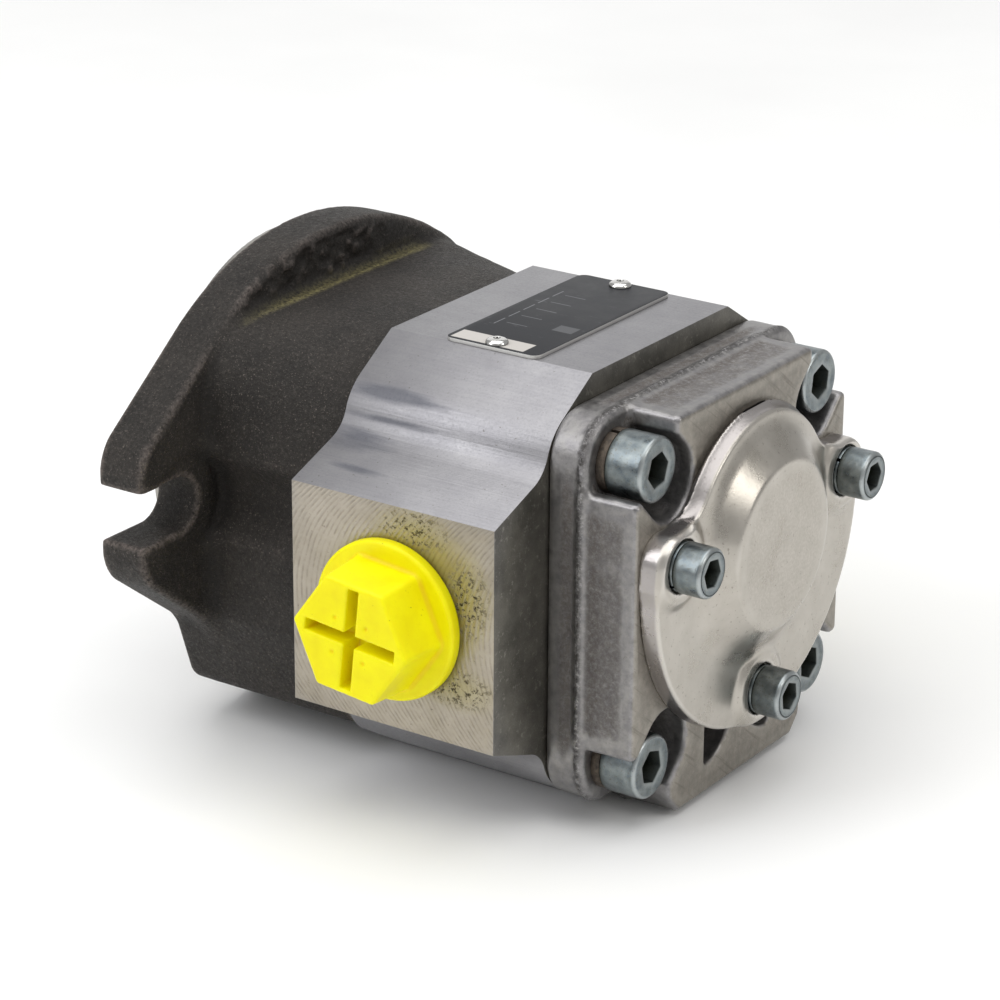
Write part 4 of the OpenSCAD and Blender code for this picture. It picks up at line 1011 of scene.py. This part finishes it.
def makeCap():
    c = cap
    x0, x1 = coverHigh[0], capHigh[0]
    rim = x0 + c["flangeT"]
    rise = x1 - rim
    axes = [steps(x0 - c["spigotLong"], x1, c["step"]), steps(-c["r"], c["r"], c["step"]),
            steps(capLow[2], capHigh[2], c["step"])]
    x, y, z = axes[0][:, None, None], axes[1][None, :, None], axes[2][None, None, :]
    y2, z2 = np.meshgrid(axes[1], axes[2], indexing="ij")
    section = polygonField(capOutline(), y2, z2)[None]
    flange = roundMeet(roundMeet(section, x - rim, c["rimRound"]), x0 - x, 0.2)
    radius = np.hypot(y, z - c["z"])
    lean = math.atan2(c["domeR"] - c["flatR"], rise)
    cone = (radius - c["flatR"] - (x1 - x) * math.tan(lean)) * math.cos(lean)
    dome = roundMeet(cone, x - x1, c["discEdge"])
    dome = np.maximum(dome, x0 + 1 - x)
    for angle in c["screwAngles"]:
        a = math.radians(angle)
        out = np.hypot(y - c["screwCircle"] * math.cos(a), z - c["z"] - c["screwCircle"] * math.sin(a))
        tilt = math.atan(c["scallopSlope"])
        scallop = (out - c["scallopR"] - (x - rim) * c["scallopSlope"]) * math.cos(tilt)
        dome = roundCut(dome, scallop, 0.8)
    body = roundJoin(flange, dome, c["domeFoot"])
    for angle in c["screwAngles"]:
        a = math.radians(angle)
        out = np.hypot(y - c["screwCircle"] * math.cos(a), z - c["z"] - c["screwCircle"] * math.sin(a))
        boss = roundMeet(out - c["bossR"], x - rim - c["boss"], 0.7)
        boss = np.maximum(np.maximum(boss, x0 + 1 - x), section + 0.3)
        body = roundJoin(body, boss, 2.6)
        body = roundCut(body, np.maximum(out - c["seatR"], rim - x), 0.25)
        body = np.maximum(body, -(out - c["screwHoleR"] + 0 * x))
    spigot = roundMeet(radius - c["spigotR"], np.maximum(x0 - c["spigotLong"] - x, x - x0 - 1), 0.3)
    groove = np.maximum(np.abs(x - x0 + 1.65) - 1.15, c["spigotR"] - 1.6 - radius)
    body = np.minimum(body, np.maximum(spigot, -groove))
    body = roundCut(body, np.maximum(radius - c["hollowR"], x - rim), 0.5)

    def milledRim(px, py, pz):
        return (px < rim - 0.4) & (px > x0 - 0.2)

    dress(castPiece("endCap", body, axes, milledRim), "pump_housing", "cap_aluminium", "end_cap")


makeCap()
print("stage: end cap")


# ---- screws, washers and rivets: rings of points drawn out along the shaft ----

def ringsPiece(name, groups, attributes=None):
    # groups: one list of rings for each solid; a ring is an array of points, closed on itself
    points, faces, values, base = [], [], {}, 0
    for rings in groups:
        count = len(rings[0][0])
        # each ring also carries an amount of painted shade for recesses and an edge amount
        for ring, recessDark, edge in rings:
            points.append(ring)
            values.setdefault("recessDark", []).append(np.full(count, recessDark))
            values.setdefault("edge", []).append(np.full(count, edge))
        for k in range(len(rings) - 1):
            i = np.arange(count)
            j = (i + 1) % count
            faces.append(np.stack([base + k * count + i, base + k * count + j,
                                   base + (k + 1) * count + j, base + (k + 1) * count + i], 1))
        base += len(rings) * count
    return meshPiece(name, np.concatenate(points), np.concatenate(faces),
                     {k: np.concatenate(v) for k, v in values.items()})


def closeEnds(piece):
    shape = bmesh.new()
    shape.from_mesh(piece.data)
    open_ = [e for e in shape.edges if e.is_boundary]
    bmesh.ops.holes_fill(shape, edges=open_, sides=0)
    bmesh.ops.recalc_face_normals(shape, faces=shape.faces)
    shape.to_mesh(piece.data)
    shape.free()
    piece.data.shade_smooth()
    piece.data.set_sharp_from_angle(angle=math.radians(38))


def screwRings(at, faceX, s, turn):
    # from the shank's end up the thread, round the head and down into the socket
    count = 72
    angle = np.radians(np.arange(count) * 360 / count)
    d, headR = s["d"], s["headR"]
    under, topX = faceX - d, faceX
    end = under - s["long"]
    hexAngle = np.radians((np.degrees(angle) - turn + 30) % 60 - 30)
    hexR = s["socket"] / np.cos(hexAngle)
    rings = []

    # the third number is the painted shade of the ring, under the head and down the socket
    def add(x, r, recessDark=0.0, edge=0.0):
        r = np.broadcast_to(r, angle.shape)
        rings.append((np.stack([np.broadcast_to(x, angle.shape), at[0] + r * np.cos(angle),
                                at[1] + r * np.sin(angle)], 1), recessDark, edge))

    add(end, d / 2 - 1.1)
    for x in np.arange(end + 0.6, end + s["thread"], s["pitch"] / 4):
        phase = (x / s["pitch"] - angle / (2 * math.pi)) % 1
        add(x, d / 2 - 0.30 * s["pitch"] * np.abs(2 * phase - 1))
    add(end + s["thread"] + 0.5, d / 2)
    add(under, d / 2, 0.6)
    add(under, headR - 0.35, 0.9)
    add(under + 0.12, headR - 0.1, 0.8)
    add(under + 0.4, headR, 0.5)
    add(under + 1.2, headR, 0.12)
    add(topX - 1.4, headR)
    for bit in np.linspace(0, 90, 6):
        a = math.radians(bit)
        add(topX - 0.9 + 0.9 * math.sin(a), headR - 0.9 + 0.9 * math.cos(a), 0, 0.8 * math.sin(2 * a))
    add(topX, (headR + s["socket"] + 1.0) / 2, 0.05)
    add(topX, hexR + 0.35, 0.1, 0.5)
    add(topX - 0.12, hexR + 0.08, 0.3, 0.6)
    add(topX - 0.4, hexR, 0.6)
    add(topX - s["deep"], hexR, 1.0)
    add(topX - s["deep"], s["socket"] * 0.9, 1.0)
    add(topX - s["deep"] - 0.8, 0.15, 1.0)
    return rings


cornerScrews = {"d": 8, "headR": 6.5, "socket": 3.05, "deep": 4.0, "long": 73.2, "thread": 22, "pitch": 1.25,
                "turns": (12, 40, 5, 51)}
capScrews = {"d": 6, "headR": 5.0, "socket": 2.55, "deep": 3.0, "long": 16.6, "thread": 12, "pitch": 1.0,
             "turns": (8, 33, 21)}
cornerAt = [(sy * 30.4, centreZ + sz * 30.4) for sy in (-1, 1) for sz in (-1, 1)]
capAt = [(31.4 * math.cos(math.radians(a)), cap["z"] + 31.4 * math.sin(math.radians(a))) for a in (-90, 9, 171)]
cornerFace, capFace = corners("corner_screws")[1][0], corners("cap_screws")[1][0]

for name, places, faceX, sizes, node in (("cornerScrews", cornerAt, cornerFace, cornerScrews, "corner_screws"),
                                         ("capScrews", capAt, capFace, capScrews, "cap_screws")):
    made = ringsPiece(name, [screwRings(at, faceX, sizes, sizes["turns"][i]) for i, at in enumerate(places)])
    closeEnds(made)
    dress(made, "pump_housing", "zinc_plated_steel", node)

washers = {"corner": {"t": 2.0, "r0": 4.2, "r1": 6.4}, "cap": {"t": 1.6, "r0": 3.2, "r1": 4.9}, "gap": 8}


def washerPiece(name, places, x0, w, gapAngle):
    # a split spring ring: a rounded square section swept not quite all the way round
    points, faces, base = [], [], 0
    t, r0, r1 = w["t"], w["r0"], w["r1"]
    round_ = 0.22
    section = []
    for cx, cr, a0 in ((t - round_, r1 - round_, 0), (t - round_, r0 + round_, 90), (round_, r0 + round_, 180),
                       (round_, r1 - round_, 270)):
        for bit in (0, 45, 90):
            a = math.radians(a0 + bit)
            section.append((cx + round_ * math.sin(a) if a0 in (0, 90) else cx + round_ * math.sin(a),
                            cr + round_ * math.cos(a)))
    section = np.array(section)
    count = len(section)
    for number, at in enumerate(places):
        start = gapAngle + number * 77
        turns = np.radians(np.linspace(start + washers["gap"] / 2, start + 360 - washers["gap"] / 2, 72))
        for a in turns:
            points.append(np.stack([x0 + section[:, 0], at[0] + section[:, 1] * math.cos(a),
                                    at[1] + section[:, 1] * math.sin(a)], 1))
        i = np.arange(count)
        j = (i + 1) % count
        for k in range(len(turns) - 1):
            faces.append(np.stack([base + k * count + i, base + k * count + j,
                                   base + (k + 1) * count + j, base + (k + 1) * count + i], 1))
        base += len(turns) * count
    piece = meshPiece(name, np.concatenate(points), np.concatenate(faces))
    closeEnds(piece)
    return piece


dress(washerPiece("cornerWashers", cornerAt, corners("corner_lock_washers")[0][0], washers["corner"], 25),
      "pump_housing", "spring_steel", "corner_lock_washers")
dress(washerPiece("capWashers", capAt, corners("cap_lock_washers")[0][0], washers["cap"], 60),
      "pump_housing", "zinc_plated_steel", "cap_lock_washers")

rivets = {"r": 1.2, "headR": 2.3, "high": 1.1, "dimpleR": 0.75, "deep": 4.5, "span": 44, "y": -0.5}


def makeRivets():
    v = rivets
    top = corners("name_plate")[1][2]
    angle = np.radians(np.arange(40) * 9)
    groups = []
    for s in (-1, 1):
        rings = []
        # the third number of each is the painted shade, under the head and in the dimple
        outline = [(-v["deep"], v["r"] * 0.6, 0), (-v["deep"] + 0.5, v["r"], 0), (0, v["r"], 0.6),
                   (0, v["headR"] - 0.1, 0.7), (0.12, v["headR"], 0.4)]
        outline += [(0.12 + (v["high"] - 0.12) * math.sin(math.radians(b)),
                     v["dimpleR"] + (v["headR"] - v["dimpleR"]) * math.cos(math.radians(b)), 0)
                    for b in (15, 30, 45, 60, 75, 90)]
        outline += [(v["high"] - 0.15, v["dimpleR"] - 0.12, 0.6), (v["high"] - 0.8, v["dimpleR"] - 0.2, 1.0),
                    (v["high"] - 0.9, 0.1, 1.0)]
        for z, r, recessDark in outline:
            rings.append((np.stack([portX + r * np.cos(angle), v["y"] + s * v["span"] / 2 + r * np.sin(angle),
                                    np.full(angle.shape, top + z)], 1), recessDark, 0.0))
        groups.append(rings)
    piece = ringsPiece("plateRivets", groups)
    closeEnds(piece)
    dress(piece, "pump_housing", "rivet_steel", "plate_rivets")


makeRivets()
print("stage: screws, washers and rivets")


# ---- name plate ----

plate = {"edge": 0.15, "corner": 2.0}


def makePlate():
    low, high = corners("name_plate")
    r = plate["corner"]
    outline = arcPoints((high[0] - r, high[1] - r), r, 0, 90, 8) + arcPoints((low[0] + r, high[1] - r), r, 90, 180, 8)
    outline += arcPoints((low[0] + r, low[1] + r), r, 180, 270, 8)
    outline += arcPoints((high[0] - r, low[1] + r), r, 270, 360, 8)
    count = len(outline)
    points = [(x * mm, y * mm, z * mm) for z in (low[2], high[2]) for x, y in outline]
    faces = [list(range(count))[::-1], list(range(count, 2 * count))]
    faces += [[i, (i + 1) % count, count + (i + 1) % count, count + i] for i in range(count)]
    mesh = bpy.data.meshes.new("namePlate")
    mesh.from_pydata(points, [], faces)
    piece = bpy.data.objects.new("namePlate", mesh)
    bpy.context.collection.objects.link(piece)
    softenEdges(piece, plate["edge"])
    dress(piece, "pump_housing", "plate_black", "name_plate")


makePlate()
print("stage: name plate")


# ---- port plugs ----

plugs = {
    "step": 0.27, "rim": 2.8, "rimOver": 2.8, "hexOver": 0.5, "hexHigh": 11, "taper": 0.047, "turn": -6,
    "slot": 2.4, "slotReach": 0.75, "slotDeep": 5.2, "deep": 12, "wall": 2.0, "pitch": 1.81, "thread": 0.75,
    "edge": 0.7, "crease": 0.35, "dimple": 0.45,
}


def makePlug(name, portR, side, body, node):
    p = plugs
    rimR, hexR = portR + p["rimOver"], portR + p["hexOver"]
    top = p["rim"] + p["hexHigh"]
    # drawn standing up: u and v across, w out of the port
    axes = [steps(-rimR, rimR, p["step"]), steps(-rimR, rimR, p["step"]), steps(-p["deep"], top, p["step"])]
    u, v, w = axes[0][:, None, None], axes[1][None, :, None], axes[2][None, None, :]
    radius, angle = np.hypot(u, v), np.arctan2(v, u)
    rim = roundMeet(radius - rimR, np.abs(w - p["rim"] / 2) - p["rim"] / 2, p["edge"])
    flat = hexR * math.cos(math.radians(30))
    hexagon = np.full((len(axes[0]), len(axes[1]), 1), -1e9)
    sides = []
    for k in range(6):
        a = math.radians(p["turn"] + 30 + 60 * k)
        lean = u * math.cos(a) + v * math.sin(a) - flat * (1 - p["taper"] * np.clip((w - p["rim"]) / p["hexHigh"], 0, 1))
        sides.append(lean)
    hexagon = sides[0]
    for lean in sides[1:]:
        hexagon = roundMeet(hexagon, lean, 0.5)
    hexagon = roundMeet(hexagon, w - top, p["edge"] * 0.8)
    hexagon = np.maximum(hexagon, p["rim"] / 2 - w)
    body_ = roundJoin(rim, hexagon, 0.8)
    phase = (w / p["pitch"] - angle / (2 * math.pi)) % 1
    thread = portR - 0.15 - p["thread"] * np.clip(np.abs(2 * phase - 1) * 1.4 - 0.2, 0, 1)
    stem = roundMeet(radius - thread, np.maximum(-p["deep"] - w, w - 0.5), 0.5)
    body_ = np.minimum(body_, stem)
    body_ = roundCut(body_, np.maximum(radius - (portR - p["wall"] - 0.4), w + 0.3), 0.4)
    turned = math.radians(p["turn"])
    a = u * math.cos(turned) + v * math.sin(turned)
    b = -u * math.sin(turned) + v * math.cos(turned)
    reach = hexR * p["slotReach"]
    cross = np.minimum(np.maximum(np.abs(a) - reach, np.abs(b) - p["slot"] / 2),
                       np.maximum(np.abs(b) - reach, np.abs(a) - p["slot"] / 2))
    body_ = roundCut(body_, roundMeet(cross, top - p["slotDeep"] - w, 0.4), p["crease"])
    for k in range(4):
        t = turned + math.radians(45 + 90 * k)
        spot = np.sqrt((u - 0.37 * hexR * math.cos(t)) ** 2 + (v - 0.37 * hexR * math.sin(t)) ** 2
                       + (w - top) ** 2) - p["dimple"]
        body_ = roundCut(body_, spot, 0.15)
    places, points, faces = skinOf(body_, axes)
    far = bend(body_, places, 1.5, p["step"])
    # stand it in its port: w runs along Y
    stood = np.stack([portX + points[:, 0], side * (padY + points[:, 2]), centreZ - side * points[:, 1]], 1)
    piece = meshPiece(name, stood, faces, {"hollow": np.clip(-far, 0, 1)})
    print("  ", name, len(faces), "faces")
    dress(piece, body, "yellow_polyethylene", node)


makePlug("suctionPlug", portBody["suctionR"], -1, "suction_stopper", "suction_plug")
makePlug("pressurePlug", portBody["pressureR"], 1, "pressure_stopper", "pressure_plug")
print("stage: port plugs")


# ---- drive end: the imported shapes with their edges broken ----

def softened(name, node, body, slot, width):
    piece = bpy.data.objects.new(name, frame["nodes"][node].data.copy())
    piece.data.materials.clear()
    bpy.context.collection.objects.link(piece)
    softenEdges(piece, width, 2, 30)
    dress(piece, body, slot, node)


softened("driveShaft", "pinion_shaft", "rotor", "hardened_steel", 0.12)
softened("shaftKey", "shaft_key", "rotor", "hardened_steel", 0.25)
softened("retainingRing", "seal_retaining_ring", "pump_housing", "spring_steel", 0.15)
print("stage: drive end")


# ---- floor and light ----

studio = {
    "floorZ": cadBox[0][2], "floorColour": "#fbfbfa", "world": 0.42,
    "lamps": (
        # place, size across, watts, colour: soft boxes over, to the left, to the right and behind
        ((0.08, -0.10, 1.00), 1.3, 9.6, "#ffffff"),
        ((-0.55, -0.85, 0.70), 0.7, 5.0, "#fbfcff"),
        ((0.95, 0.10, 0.55), 0.35, 1.6, "#fffdf9"),
        ((-0.60, 0.90, 0.45), 1.1, 2.2, "#ffffff"),
    ),
    "target": (0.045, 0, 0),
}


def makeStudio():
    s = studio
    size = 4.0
    mesh = bpy.data.meshes.new("floor")
    z = s["floorZ"] - 0.0002
    mesh.from_pydata([(-size, -size, z), (size, -size, z), (size, size, z), (-size, size, z)], [], [(0, 1, 2, 3)])
    floor = bpy.data.objects.new("floor", mesh)
    bpy.context.collection.objects.link(floor)
    # Matt white paper: almost even, with a very faint cloudiness
    material, tree, surface, where = startMaterial("paperMattWhite", {"Metallic": 0.0, "Roughness": 0.9})
    tone = blend(tree, ramp(tree, cloud(tree, where, 300), 0.3, 0.7), linear("#f1f1f0"), linear(s["floorColour"]))
    tree.links.new(tone, surface.inputs["Base Color"])
    mesh.materials.append(material)
    world = bpy.data.worlds.new("studioLight")
    world.use_nodes = True
    world.node_tree.nodes["Background"].inputs[0].default_value = (1, 1, 1, 1)
    world.node_tree.nodes["Background"].inputs[1].default_value = s["world"]
    bpy.context.scene.world = world
    for number, (place, across, watts, colour) in enumerate(s["lamps"]):
        data = bpy.data.lights.new("softBox%d" % number, "AREA")
        data.shape, data.size, data.energy = "SQUARE", across, watts
        data.color = linear(colour)[:3]
        lamp = bpy.data.objects.new("softBox%d" % number, data)
        bpy.context.collection.objects.link(lamp)
        lamp.location = place
        aim = Vector(s["target"]) - Vector(place)
        lamp.rotation_euler = aim.to_track_quat("-Z", "Y").to_euler()


makeStudio()
print("stage: floor and light")
